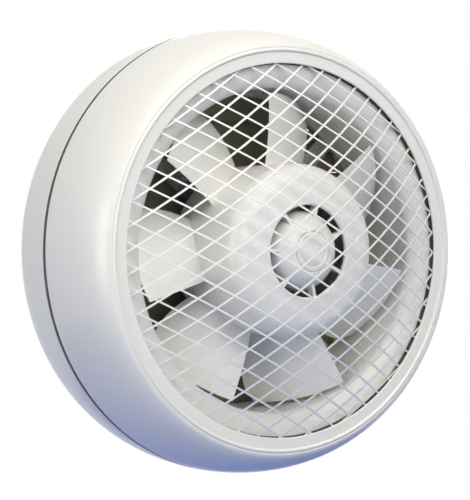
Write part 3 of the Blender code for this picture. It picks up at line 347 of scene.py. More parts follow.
def lathe(outline, steps):
    """A closed mesh turned about the fan's axis from (radius, depth) points.

    An outline that starts on the axis also ends there. Any other outline is a closed loop.
    """
    shape = bmesh.new()
    verts = [shape.verts.new((point[0], at(point[1]), 0.0)) for point in outline]
    pairs = list(zip(verts, verts[1:]))
    if outline[0][0] > 0.0:
        pairs.append((verts[-1], verts[0]))
    edges = [shape.edges.new(pair) for pair in pairs]
    bmesh.ops.spin(
        shape,
        geom=verts + edges,
        cent=(0.0, 0.0, 0.0),
        axis=(0.0, 1.0, 0.0),
        angle=math.tau,
        steps=steps,
        use_merge=True,
    )
    bmesh.ops.remove_doubles(shape, verts=shape.verts, dist=MERGE_DISTANCE)
    bmesh.ops.recalc_face_normals(shape, faces=shape.faces)
    return shape


def ring(inner, outer, front, rear, steps):
    """A ring or, with an inner radius of 0, a disc, between two depths."""
    if inner > 0.0:
        return lathe([(outer, front), (outer, rear), (inner, rear), (inner, front)], steps)
    return lathe([(0.0, front), (outer, front), (outer, rear), (0.0, rear)], steps)


def block(low, high, bevel, segments=3):
    """A box between two (x, depth, z) corners with bevelled edges."""
    shape = bmesh.new()
    bmesh.ops.create_cube(shape, size=1.0)
    size = Vector(high) - Vector(low)
    bmesh.ops.scale(shape, vec=size, verts=shape.verts)
    middle = (Vector(high) + Vector(low)) / 2.0
    bmesh.ops.translate(shape, vec=(middle.x, at(middle.y), middle.z), verts=shape.verts)
    bmesh.ops.bevel(
        shape,
        geom=shape.edges[:],
        offset=bevel,
        affect="EDGES",
        segments=segments,
        profile=0.5,
        material=-1,
    )
    return shape


def turned(shape, turn):
    """The same mesh, turned about the fan's axis from +X towards +Z."""
    bmesh.ops.rotate(shape, matrix=Matrix.Rotation(-turn, 3, "Y"), verts=shape.verts)
    return shape


def moved(shape, offset):
    """The same mesh, moved."""
    bmesh.ops.translate(shape, vec=offset, verts=shape.verts)
    return shape


def gathered(shapes):
    """Several meshes as one."""
    whole = bmesh.new()
    for shape in shapes:
        mesh = bpy.data.meshes.new("group")
        shape.to_mesh(mesh)
        shape.free()
        whole.from_mesh(mesh)
        bpy.data.meshes.remove(mesh)
    return whole


def made(name, shape, material):
    """A named object made from a mesh."""
    mesh = bpy.data.meshes.new(name)
    shape.to_mesh(mesh)
    shape.free()
    mesh.materials.append(material)
    obj = bpy.data.objects.new(name, mesh)
    bpy.context.scene.collection.objects.link(obj)
    return obj


def carved(obj, shape, operation):
    """Joins a closed mesh to an object or cuts it out."""
    tool = made(obj.name + "_tool", shape, obj.data.materials[0])
    modifier = obj.modifiers.new(operation.lower(), "BOOLEAN")
    modifier.solver = "MANIFOLD"
    modifier.operation = operation
    modifier.object = tool
    bpy.context.view_layer.update()
    graph = bpy.context.evaluated_depsgraph_get()
    result = bpy.data.meshes.new_from_object(obj.evaluated_get(graph))
    obj.modifiers.clear()
    obj.data = result
    bpy.data.objects.remove(tool)


def seated(obj, body, slot, *nodes, sharp=32.0):
    """Shades a piece, sharp above an angle, and seats it on a body in place of nodes."""
    obj.data.shade_smooth()
    obj.data.set_sharp_from_angle(angle=math.radians(sharp))
    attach(obj, body)
    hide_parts(*nodes)


class Nodes:
    """A short way to add shader nodes to a new material."""

    def __init__(self, name):
        self.material = bpy.data.materials.new(name)
        self.material.use_nodes = True
        self.tree = self.material.node_tree
        self.shader = self.tree.nodes["Principled BSDF"]
        self.place = self.add("ShaderNodeTexCoord").outputs["Object"]

    def add(self, kind, **values):
        """A new node with its settings."""
        node = self.tree.nodes.new(kind)
        for name, value in values.items():
            setattr(node, name, value)
        return node

    def link(self, source, target):
        """A wire between two sockets."""
        self.tree.links.new(source, target)

    def noise(self, scale, detail=4.0, roughness=0.55, stretch=None):
        """A noise texture on the object's own coordinates."""
        node = self.add("ShaderNodeTexNoise")
        node.inputs["Scale"].default_value = scale
        node.inputs["Detail"].default_value = detail
        node.inputs["Roughness"].default_value = roughness
        source = self.place
        if stretch:
            mapping = self.add("ShaderNodeMapping")
            mapping.inputs["Scale"].default_value = stretch
            self.link(source, mapping.inputs["Vector"])
            source = mapping.outputs["Vector"]
        self.link(source, node.inputs["Vector"])
        return node.outputs["Fac"]

    def ranged(self, value, low, high):
        """A noise's middle levels spread over a range."""
        node = self.add("ShaderNodeMapRange")
        self.link(value, node.inputs["Value"])
        node.inputs["From Min"].default_value = NOISE_LOW
        node.inputs["From Max"].default_value = NOISE_HIGH
        node.inputs["To Min"].default_value = low
        node.inputs["To Max"].default_value = high
        return node.outputs["Result"]

    def mixed(self, factor, first, second):
        """A colour between two colours."""
        node = self.add("ShaderNodeMix", data_type="RGBA")
        self.link(factor, node.inputs["Factor"])
        for name, value in (("A", first), ("B", second)):
            socket = [item for item in node.inputs if item.name == name and item.type == "RGBA"][0]
            if isinstance(value, bpy.types.NodeSocket):
                self.link(value, socket)
            else:
                socket.default_value = (*value, 1.0)
        return [item for item in node.outputs if item.type == "RGBA"][0]

    def bumped(self, height, strength, distance):
        """A bump from a height."""
        node = self.add("ShaderNodeBump")
        node.inputs["Strength"].default_value = strength
        node.inputs["Distance"].default_value = distance
        self.link(height, node.inputs["Height"])
        self.link(node.outputs["Normal"], self.shader.inputs["Normal"])

    def colour(self, value):
        """A varied colour for the surface."""
        self.link(value, self.shader.inputs["Base Color"])

    def rough(self, value):
        """A varied roughness for the surface."""
        self.link(value, self.shader.inputs["Roughness"])

    def set(self, name, value):
        """A constant on the shader's own socket."""
        self.shader.inputs[name].default_value = value


def tinted(base, factor):
    """A colour made lighter or darker by a factor."""
    return tuple(min(1.0, channel * factor) for channel in base)


def moulded_plastic(name, base, roughness, coat, grain):
    """Moulded plastic: faint cloudiness, uneven gloss and a fine moulded grain."""
    nodes = Nodes(name)
    cloud = nodes.ranged(nodes.noise(18.0, 3.0), 0.0, 1.0)
    aged = tuple(channel * fade for channel, fade in zip(base, AGED_TINT))
    nodes.colour(nodes.mixed(cloud, base, aged))
    nodes.rough(nodes.ranged(nodes.noise(60.0, 5.0), roughness - 0.05, roughness + 0.05))
    nodes.bumped(nodes.noise(1400.0, 2.0), grain, FINE_BUMP)
    nodes.set("Coat Weight", coat)
    nodes.set("Coat Roughness", 0.12)
    nodes.set("IOR", 1.49)
    return nodes.material


def painted_metal(name, base):
    """White paint on metal: small runs and a soft shine."""
    nodes = Nodes(name)
    patch = nodes.ranged(nodes.noise(90.0, 4.0), 0.0, 1.0)
    nodes.colour(nodes.mixed(patch, base, tinted(base, 0.94)))
    nodes.rough(nodes.ranged(nodes.noise(240.0, 3.0), 0.34, 0.48))
    nodes.bumped(nodes.noise(700.0, 3.0), 0.25, FINE_BUMP)
    nodes.set("Coat Weight", 0.15)
    return nodes.material


def bare_metal(name, base, roughness, scale, stretch):
    """Plated, cast or stacked metal: drawn or grainy, with darker patches."""
    nodes = Nodes(name)
    patch = nodes.ranged(nodes.noise(scale * 0.2, 5.0), 0.0, 1.0)
    nodes.colour(nodes.mixed(patch, base, tinted(base, 0.82)))
    grain = nodes.noise(scale, 4.0, 0.6, stretch)
    nodes.rough(nodes.ranged(grain, roughness - 0.08, roughness + 0.10))
    nodes.bumped(nodes.noise(scale * 2.0, 4.0, 0.6, stretch), 0.3, FINE_BUMP)
    nodes.set("Metallic", 1.0)
    return nodes.material


def winding_wire(name, base):
    """Varnished wire: fine parallel strands round the fan's axis."""
    nodes = Nodes(name)
    wave = nodes.add("ShaderNodeTexWave", wave_type="RINGS", rings_direction="Y")
    wave.inputs["Scale"].default_value = 330.0
    wave.inputs["Distortion"].default_value = 1.5
    nodes.link(nodes.place, wave.inputs["Vector"])
    nodes.colour(nodes.mixed(wave.outputs["Fac"], tinted(base, 0.45), base))
    nodes.rough(nodes.ranged(nodes.noise(200.0), 0.3, 0.5))
    nodes.bumped(wave.outputs["Fac"], 0.5, 0.0004)
    nodes.set("Metallic", 0.8)
    nodes.set("Coat Weight", 0.5)
    return nodes.material


def soft_rubber(name, base):
    """Black rubber: matt, with a little bloom."""
    nodes = Nodes(name)
    bloom = nodes.ranged(nodes.noise(120.0, 5.0), 0.0, 1.0)
    nodes.colour(nodes.mixed(bloom, base, tinted(base, 1.8)))
    nodes.rough(nodes.ranged(nodes.noise(300.0), 0.62, 0.8))
    nodes.bumped(nodes.noise(900.0), 0.3, FINE_BUMP)
    return nodes.material


def finishes():
    """The fan's finishes by the name of their slot, made once."""
    colours = bpy.context.scene.fan_colours
    plastic = {
        "white_plastic": (colours.housing, 0.36, 0.25, 0.10),
        "impeller_plastic": (colours.impeller, 0.42, 0.10, 0.08),
        # The shutter's colour carries painted shade of the deep duct.
        "shutter_plastic": (colours.shutter, 0.55, 0.0, 0.30),
    }
    metal = {
        "bright_steel": (colours.steel, 0.30, 500.0, None),
        "lamination_steel": (colours.lamination, 0.45, 60.0, (1.0, 60.0, 1.0)),
        "cast_metal": (colours.casting, 0.50, 350.0, None),
        "bearing_bronze": (colours.bronze, 0.42, 900.0, None),
    }
    recipes = {slot: (moulded_plastic, settings) for slot, settings in plastic.items()}
    recipes |= {slot: (bare_metal, settings) for slot, settings in metal.items()}
    recipes["painted_mesh"] = (painted_metal, (colours.guard,))
    recipes["winding_copper"] = (winding_wire, (colours.copper,))
    recipes["black_rubber"] = (soft_rubber, (colours.rubber,))
    found = {}
    for slot, (maker, settings) in recipes.items():
        name = "fan_" + slot
        found[slot] = bpy.data.materials.get(name) or maker(name, *settings)
    return found


def bulge(sizes, depth):
    """The front cover's outer radius: a superellipse from the crest to the widest ring."""
    along = min(1.0, max(0.0, depth) / sizes.bulge_length)
    height = max(0.0, 1.0 - (1.0 - along) ** sizes.bulge_power) ** (1.0 / sizes.bulge_power)
    return sizes.crest_radius + (HOUSING_RADIUS - sizes.crest_radius) * height


def skirt(sizes, depth):
    """The rear casing's outer radius, drawn in towards the wall."""
    along = max(0.0, depth - sizes.rear_start) / (sizes.depth - sizes.rear_start)
    fall = max(0.0, 1.0 - along**sizes.rear_power) ** (1.0 / sizes.bulge_power)
    return min(bulge(sizes, depth), sizes.rear_radius + (HOUSING_RADIUS - sizes.rear_radius) * fall)


def spigot_seat(sizes):
    """The radius inside the cover's rear edge that the casing's spigot fits."""
    return bulge(sizes, sizes.seam_depth - sizes.spigot_length - SEAT_GAP) - sizes.cover_wall


class FAN_OT_front_cover(bpy.types.Operator):
    """Turn the bowl with its lip, its bead and its bulged side"""

    bl_idname = "fan.front_cover"
    bl_label = "Front Cover"

    def execute(self, context):
        sizes = context.scene.fan_housing
        bead = sizes.bead_radius
        middle = sizes.crest_radius - bead / 2.0
        land = sizes.seam_depth - sizes.spigot_length - SEAT_GAP
        corners = [
            (middle + bead * math.cos(turn), bead * (1.0 - math.sin(turn)), 0.0)
            for turn in spaced(math.pi, BEAD_END, 9)
        ]
        groove = sizes.crest_radius + bead * 0.75
        corners += [
            (groove, bead * 0.7, FINE_ROUND),
            (groove + bead * 0.5, bead * 0.55, FINE_ROUND),
        ]
        corners += [
            (bulge(sizes, depth), depth, 0.0)
            for depth in spaced(bead, sizes.seam_depth - SEAM_SHORT, 30, 1.8)
        ]
        corners += [
            (bulge(sizes, sizes.seam_depth), sizes.seam_depth, sizes.seam_round),
            (spigot_seat(sizes), sizes.seam_depth, FINE_ROUND),
        ]
        corners += [
            (bulge(sizes, depth) - sizes.cover_wall, depth, 0.0)
            for depth in reversed(spaced(INNER_START, land, 12, 1.5))
        ]
        corners += [
            (sizes.crest_radius - sizes.cover_wall / 2.0, sizes.lip_thickness, SOFT_ROUND),
            (sizes.opening_radius, sizes.lip_thickness, EDGE_ROUND),
            (sizes.opening_radius, bead * 0.62, LIP_ROUND),
        ]
        cover = lathe(softened(corners), SHELL_STEPS)
        obj = made("cover_shell", cover, finishes()["white_plastic"])
        seated(obj, "casing", "white_plastic", "front_cover", sharp=40.0)
        return {"FINISHED"}


class FAN_OT_inlet_ring(bpy.types.Operator):
    """Turn the bell mouth behind the guard"""

    bl_idname = "fan.inlet_ring"
    bl_label = "Inlet Ring"

    def execute(self, context):
        sizes = context.scene.fan_housing
        guard = context.scene.fan_guard
        front = sizes.lip_thickness + guard.rim_thickness + 2.0 * SEAT_GAP + guard.slot_height
        turn_radius = sizes.opening_radius + guard.rim_hidden - sizes.throat_radius
        turn_length = sizes.throat_depth - front
        corners = [
            (
                sizes.throat_radius + turn_radius * (1.0 - math.sin(turn)),
                front + turn_length * (1.0 - math.cos(turn)),
                0.0,
            )
            for turn in spaced(0.0, math.pi / 2.0, 16)
        ]
        outer = sizes.throat_radius + sizes.inlet_wall
        corners += [
            (sizes.throat_radius, sizes.inlet_length, EDGE_ROUND),
            (outer, sizes.inlet_length, EDGE_ROUND),
        ]
        corners += [
            (
                outer + turn_radius * (1.0 - math.sin(turn)),
                front + sizes.inlet_wall + turn_length * (1.0 - math.cos(turn)),
                0.0,
            )
            for turn in reversed(spaced(0.0, math.pi / 2.0, 12))
        ]
        rim = sizes.opening_radius + sizes.inlet_flange
        corners += [(rim, front + sizes.inlet_wall, EDGE_ROUND), (rim, front, EDGE_ROUND)]
        bell = lathe(softened(corners), BELL_STEPS)
        obj = made("bell_mouth", bell, finishes()["white_plastic"])
        seated(obj, "casing", "white_plastic", "inlet_ring", sharp=40.0)
        return {"FINISHED"}


class FAN_OT_rear_casing(bpy.types.Operator):
    """Turn the rear casing, add its wall lugs, cut its holes and lay a black ring of painted shade
    in its seam
    """

    bl_idname = "fan.rear_casing"
    bl_label = "Rear Casing"

    def execute(self, context):
        sizes = context.scene.fan_housing
        seam = sizes.seam_depth + sizes.seam_width
        outer = spigot_seat(sizes) - SEAT_GAP
        inner = outer - sizes.spigot_wall
        web_rear = sizes.web_depth + sizes.web_thickness
        sleeve = sizes.throat_radius + sizes.inlet_wall + SEAT_GAP
        tube = sleeve + sizes.duct_wall
        sleeve_front = sizes.inlet_length - sizes.sleeve_length
        spigot_front = sizes.seam_depth - sizes.spigot_length
        corners = [(skirt(sizes, seam), seam, sizes.seam_round)]
        corners += [
            (skirt(sizes, depth), depth, 0.0)
            for depth in spaced(seam + SEAM_SHORT, sizes.depth - RIM_ROUND, 32, 0.75)
        ]
        corners += [
            (sizes.rear_radius, sizes.depth, 0.0),
            (sizes.rear_radius - sizes.rear_width, sizes.depth, RIM_ROUND),
        ]
        corners += [
            (skirt(sizes, depth) - sizes.casing_wall, depth, 0.0)
            for depth in reversed(spaced(web_rear + 0.002, sizes.depth - INNER_END, 14))
        ]
        corners += [
            (skirt(sizes, web_rear) - sizes.casing_wall, web_rear, WEB_ROUND),
            (sizes.throat_radius, web_rear, WALL_ROUND),
            (sizes.throat_radius, sizes.inlet_length + SEAT_GAP, 0.0),
            (sleeve, sizes.inlet_length + SEAT_GAP, 0.0),
            (sleeve, sleeve_front, THIN_ROUND),
            (tube, sleeve_front, WALL_ROUND),
            (tube, sizes.web_depth, SOFT_ROUND),
            (inner, sizes.web_depth, SOFT_ROUND),
            (inner, spigot_front, EDGE_ROUND),
            (outer, spigot_front, EDGE_ROUND),
            (outer, seam, 0.0),
        ]
        casing = lathe(softened(corners), SHELL_STEPS)
        obj = made("casing_shell", casing, finishes()["white_plastic"])
        lug_outer = sizes.rear_radius - sizes.rear_width / 2.0
        lug_inner = lug_outer - sizes.lug_reach
        lug_front = sizes.depth - sizes.lug_thickness
        half = sizes.lug_width / 2.0
        for turn in around(4):
            lug = block((lug_inner, lug_front, -half), (lug_outer, sizes.depth, half), LUG_BEVEL)
            carved(obj, turned(lug, turn), "UNION")
        hole_place = (lug_inner + sizes.rear_radius - sizes.rear_width) / 2.0
        holes = []
        lug_cut = (lug_front - CUT_PAST, sizes.depth + CUT_PAST)
        web_cut = (sizes.web_depth - CUT_PAST, web_rear + CUT_PAST)
        for radius, place, cut, steps, turns in (
            (sizes.lug_hole, hole_place, lug_cut, HOLE_STEPS, around(4)),
            (sizes.screw_hole, sizes.screw_circle, web_cut, SCREW_HOLE_STEPS, around(4, EIGHTH)),
            (sizes.entry_radius, sizes.entry_circle, web_cut, HOLE_STEPS, [-math.pi / 2.0]),
        ):
            for turn in turns:
                hole = moved(ring(0.0, radius, *cut, steps), (place, 0.0, 0.0))
                holes.append(turned(hole, turn))
        carved(obj, gathered(holes), "DIFFERENCE")
        seated(obj, "casing", "white_plastic", "rear_casing")
        # Painted shade: a black ring laid in the seam's groove darkens the seam's line, standing in
        # for its shadow.
        groove = (sizes.seam_depth + SEAT_GAP, seam - SEAT_GAP)
        seam_shade_top = skirt(sizes, seam) - sizes.seam_shade_inset
        seam_shade_ring = ring(outer + SEAT_GAP, seam_shade_top, *groove, SHELL_STEPS)
        obj = made("painted_seam_shade", seam_shade_ring, finishes()["black_rubber"])
        seated(obj, "casing", "black_rubber")
        return {"FINISHED"}


class FAN_OT_guard(bpy.types.Operator):
    """Make the domed expanded mesh from a grid of diamonds, with its flat rim and a black ring of
    painted shade
    """

    bl_idname = "fan.guard"
    bl_label = "Mesh Guard"

    def execute(self, context):
        sizes = context.scene.fan_guard
        opening = context.scene.fan_housing.opening_radius
        cells = 2 * int(2.0 * opening / sizes.short_pitch) + 4
        shape = bmesh.new()
        bmesh.ops.create_grid(shape, x_segments=cells, y_segments=cells, size=cells / 2.0)
        stand = Matrix.Rotation(math.pi / 2.0, 3, "X")
        diamond = Matrix.Rotation(math.pi / 4.0, 3, "Z")
        bmesh.ops.rotate(shape, matrix=diamond, verts=shape.verts)
        root = math.sqrt(2.0)
        stretch = (sizes.long_pitch / root, sizes.short_pitch / root, 1.0)
        bmesh.ops.scale(shape, vec=stretch, verts=shape.verts)
        bmesh.ops.rotate(shape, matrix=Matrix.Rotation(sizes.tilt, 3, "Z"), verts=shape.verts)
        offset = (sizes.offset_x, sizes.offset_z, 0.0)
        bmesh.ops.translate(shape, vec=offset, verts=shape.verts)
        reach = opening + sizes.long_pitch
        far = [face for face in shape.faces if face.calc_center_median().length > reach]
        bmesh.ops.delete(shape, geom=far, context="FACES")
        holes = shape.faces[:]
        bmesh.ops.inset_individual(
            shape, faces=holes, thickness=sizes.strand_width / 2.0, use_even_offset=True
        )
        bmesh.ops.delete(shape, geom=holes, context="FACES_ONLY")
        bmesh.ops.subdivide_edges(shape, edges=shape.edges[:], cuts=1, use_grid_fill=True)
        bmesh.ops.rotate(shape, matrix=stand, verts=shape.verts)
        front = context.scene.fan_housing.lip_thickness + SEAT_GAP
        mean = front + sizes.rim_thickness / 2.0
        for vert in shape.verts:
            span = min(1.0, math.hypot(vert.co.x, vert.co.z) / opening)
            vert.co.y = at(mean - sizes.rise * (1.0 - span**sizes.dome_power))
        bmesh.ops.recalc_face_normals(shape, faces=shape.faces)
        drawn = bmesh.ops.extrude_face_region(shape, geom=shape.faces[:])
        lifted = [item for item in drawn["geom"] if isinstance(item, bmesh.types.BMVert)]
        bmesh.ops.translate(shape, vec=(0.0, sizes.strand_thickness, 0.0), verts=lifted)
        moved(shape, (0.0, -sizes.strand_thickness / 2.0, 0.0))
        bmesh.ops.recalc_face_normals(shape, faces=shape.faces)
        obj = made("guard", shape, finishes()["painted_mesh"])
        inner = opening + sizes.rim_hidden
        keep = inner + sizes.strand_lap
        trim = ring(0.0, keep, -2.0 * sizes.rise, sizes.rise, GUARD_STEPS)
        carved(obj, trim, "INTERSECT")
        corners = [
            (inner, front, EDGE_ROUND),
            (inner + sizes.rim_width, front, EDGE_ROUND),
            (inner + sizes.rim_width, front + sizes.rim_thickness, EDGE_ROUND),
            (inner, front + sizes.rim_thickness, EDGE_ROUND),
        ]
        carved(obj, lathe(softened(corners, 3), GUARD_STEPS), "UNION")
        seated(obj, "casing", "painted_mesh", "guard_mesh", sharp=45.0)
        # Painted shade: a black ring behind the lip's inner edge stands in for the shadow in the
        # slot there.
        strand_rear = mean + sizes.strand_thickness / 2.0
        rear = front + sizes.rim_thickness + sizes.slot_height
        lip_shade_ring = ring(opening - sizes.lip_shade_proud, inner, strand_rear, rear, GUARD_STEPS)
        obj = made("painted_lip_shade", lip_shade_ring, finishes()["black_rubber"])
        seated(obj, "casing", "black_rubber")
        return {"FINISHED"}


def blade_point(sizes, span, along, side):
    """A point of a blade, from root 0 to tip 1 and from leading edge 0 to trailing edge 1.

    The side is 1 or -1 for the two faces of the blade.
    """
    root_radius = sizes.hub_radius - sizes.hub_wall / 2.0
    radius = root_radius + (sizes.tip_radius - root_radius) * span
    away = (1.0 - span) ** 2
    rounding = max(0.0, span - TIP_ROUND_START) / (1.0 - TIP_ROUND_START)
    front = sizes.front_tip + (sizes.front_root - sizes.front_tip) * away
    rear = sizes.rear_tip + (sizes.rear_root - sizes.rear_tip) * away
    spread = sizes.root_spread + (sizes.tip_spread - sizes.root_spread) * span**2
    lead = sizes.phase + sizes.root_lag * away
    spread *= 1.0 - sizes.tip_trim * rounding**2
    turn = lead - spread * along
    camber = sizes.camber * 4.0
    depth = front + (rear - front) * along - camber * along * (1.0 - along)
    slope_depth = (rear - front) - camber * (1.0 - 2.0 * along)
    slope_arc = -radius * spread
    slope = math.hypot(slope_depth, slope_arc)
    swell = math.sin(math.pi * along) ** EDGE_POWER
    thick = sizes.thickness * (EDGE_THICKNESS + (1.0 - EDGE_THICKNESS) * swell) / 2.0
    thick *= 1.0 - TIP_THINNING * span
    turn += side * thick * -slope_depth / slope / radius
    depth += side * thick * slope_arc / slope
    return Vector((radius * math.cos(turn), at(depth), radius * math.sin(turn)))


def blade(sizes, spans=22, alongs=24):
    """One twisted blade, from a grid bent to its form and given its thickness."""
    shape = bmesh.new()
    bmesh.ops.create_grid(shape, x_segments=spans, y_segments=alongs, size=0.5)
    places = {vert: (vert.co.x + 0.5, vert.co.y + 0.5) for vert in shape.verts}
    drawn = bmesh.ops.extrude_face_region(shape, geom=shape.faces[:], use_keep_orig=True)
    copies = [item for item in drawn["geom"] if isinstance(item, bmesh.types.BMVert)]
    flat = {vert: (vert.co.x + 0.5, vert.co.y + 0.5) for vert in copies}
    for vert, (span, along) in places.items():
        vert.co = blade_point(sizes, span, along, 1.0)
    for vert, (span, along) in flat.items():
        vert.co = blade_point(sizes, span, along, -1.0)
    bmesh.ops.recalc_face_normals(shape, faces=shape.faces)
    return shape


def shoulder(sizes, radius, depth, steps):
    """The outline of the hub's rounded front edge, from its face to its side."""
    return [
        (
            radius - sizes.shoulder * (1.0 - math.sin(turn)),
            depth + sizes.shoulder * (1.0 - math.cos(turn)) * SHOULDER_FLATNESS,
            0.0,
        )
        for turn in spaced(SHOULDER_START, math.pi / 2.0, steps)
    ]


class FAN_OT_impeller(bpy.types.Operator):
    """Turn the hub and boss, and add the ribs and the twisted blades"""

    bl_idname = "fan.impeller"
    bl_label = "Impeller"

    def execute(self, context):
        sizes = context.scene.fan_impeller
        front = sizes.hub_front
        recess = sizes.recess_radius
        edge = front + RECESS_EDGE_DEPTH
        outer = sizes.hub_radius
        inner = outer - sizes.hub_wall
        face = front + HUB_CROWN
        corners = [(recess, edge, 0.0), (recess + RECESS_EDGE_WIDTH, front, WALL_ROUND)]
        corners += shoulder(sizes, outer, face, 16)
        corners += [(outer, sizes.hub_rear, RIM_ROUND), (inner, sizes.hub_rear, RIM_ROUND)]
        corners += reversed(shoulder(sizes, inner, face + sizes.hub_wall, 10))
        corners += [(recess, edge + sizes.hub_wall, WALL_ROUND)]
        hub = lathe(softened(corners), HUB_STEPS)
        obj = made("fan_wheel", hub, finishes()["impeller_plastic"])
        floor = sizes.boss_front + sizes.pocket_depth
        seat = sizes.boss_front + sizes.cap_thickness
        neck = sizes.bore_radius * 2.6
        step = sizes.boss_floor
        seat_radius = sizes.cap_radius + SEAT_GAP
        rim = seat_radius + sizes.boss_rim
        dome_floor = floor + step
        boss = [
            (sizes.bore_radius, sizes.boss_rear, 0.0),
            (neck, sizes.boss_rear, EDGE_ROUND),
            (neck, floor + 4.0 * step, SOFT_ROUND),
            (sizes.boss_radius - step, floor + 3.0 * step, SOFT_ROUND),
            (sizes.boss_radius, floor + 2.0 * step, SOFT_ROUND),
        ]
        for turn in spaced(0.0, math.radians(87.0), 18):
            width = (sizes.boss_radius - rim) * math.cos(turn) ** sizes.boss_power
            height = (sizes.boss_front - dome_floor) * math.sin(turn) ** sizes.boss_power
            boss.append((rim + width, dome_floor + height, 0.0))
        boss += [
            (rim, sizes.boss_front, 0.0),
            (seat_radius, sizes.boss_front, FINE_ROUND),
            (seat_radius, seat, 0.0),
            (sizes.pocket_radius, seat, 0.0),
            (sizes.pocket_radius, floor, 0.0),
            (sizes.bore_radius, floor, 0.0),
        ]
        ribs = []
        half = sizes.rib_thickness / 2.0
        rib_front = front + sizes.rib_setback
        for turn in around(sizes.rib_count, sizes.rib_phase):
            low = (sizes.boss_radius - sizes.rib_root, rib_front, -half)
            high = (recess + sizes.rib_root, rib_front + sizes.rib_depth, half)
            ribs.append(turned(block(low, high, THIN_ROUND, 2), turn))
        carved(obj, gathered(ribs), "UNION")
        carved(obj, lathe(softened(boss), BOSS_STEPS), "UNION")
        for turn in around(sizes.blade_count):
            carved(obj, turned(blade(sizes), turn), "UNION")
        seated(obj, "impeller", "impeller_plastic", "impeller", sharp=40.0)
        return {"FINISHED"}


class FAN_OT_boss_cap(bpy.types.Operator):
    """Turn the round cap with its plain raised ring"""

    bl_idname = "fan.boss_cap"
    bl_label = "Boss Cap"

    def execute(self, context):
        sizes = context.scene.fan_impeller
        face = sizes.boss_front - CAP_PROUD
        radius = sizes.cap_radius
        rear = sizes.boss_front + sizes.cap_thickness - SEAT_GAP
        corners = [
            (0.0, face - 0.0004, 0.0),
            (radius * 0.35, face - 0.00035, 0.0),
            (radius * 0.68, face - 0.0002, THIN_ROUND),
            (radius * 0.72, face + 0.0003, FINE_ROUND),
            (radius * 0.80, face + 0.0003, FINE_ROUND),
            (radius * 0.84, face, THIN_ROUND),
            (radius, face + 0.0004, EDGE_ROUND),
            (radius, rear, 0.0),
            (0.0, rear, 0.0),
        ]
        cap = lathe(softened(corners), BOSS_STEPS)
        obj = made("hub_cap", cap, finishes()["impeller_plastic"])
        seated(obj, "impeller", "impeller_plastic", "boss_cap")
        return {"FINISHED"}


class FAN_OT_finish_frame(bpy.types.Operator):
    """Give every node of the frame that still shows the finish of its slot"""

    bl_idname = "fan.finish_frame"
    bl_label = "Finish the Frame"

    def execute(self, context):
        found = finishes()
        slots = {part["node"]: part["material_slot"] for part in frame["record"]["subparts"]}
        for name, node in frame["nodes"].items():
            for place in node.material_slots:
                place.material = found[slots[name]]
        return {"FINISHED"}


def lamp(name, place, target, size, power, tint):
    """A square area lamp that looks at a point and isn't seen itself."""
    light = bpy.data.lights.new(name, "AREA")
    light.shape = "SQUARE"
    light.size = size
    light.energy = power
    light.color = tint
    obj = bpy.data.objects.new(name, light)
    obj.location = place
    direction = Vector(target) - Vector(place)
    obj.rotation_euler = direction.to_track_quat("-Z", "Y").to_euler()
    obj.visible_camera = False
    bpy.context.scene.collection.objects.link(obj)


def white_behind(tree, own_shader, target):
    """Shows plain white to the camera and in reflections, and another shader to all else."""
    path = tree.nodes.new("ShaderNodeLightPath")
    factor = path.outputs["Is Camera Ray"]
    for name in ("Is Glossy Ray", "Is Transmission Ray"):
        either = tree.nodes.new("ShaderNodeMath")
        either.operation = "MAXIMUM"
        tree.links.new(factor, either.inputs[0])
        tree.links.new(path.outputs[name], either.inputs[1])
        factor = either.outputs["Value"]
    white = tree.nodes.new("ShaderNodeBackground")
    white.inputs["Color"].default_value = (1.0, 1.0, 1.0, 1.0)
    white.inputs["Strength"].default_value = 1.0
    mix = tree.nodes.new("ShaderNodeMixShader")
    tree.links.new(factor, mix.inputs["Fac"])
    tree.links.new(own_shader, mix.inputs[1])
    tree.links.new(white.outputs["Background"], mix.inputs[2])
    tree.links.new(mix.outputs["Shader"], target)


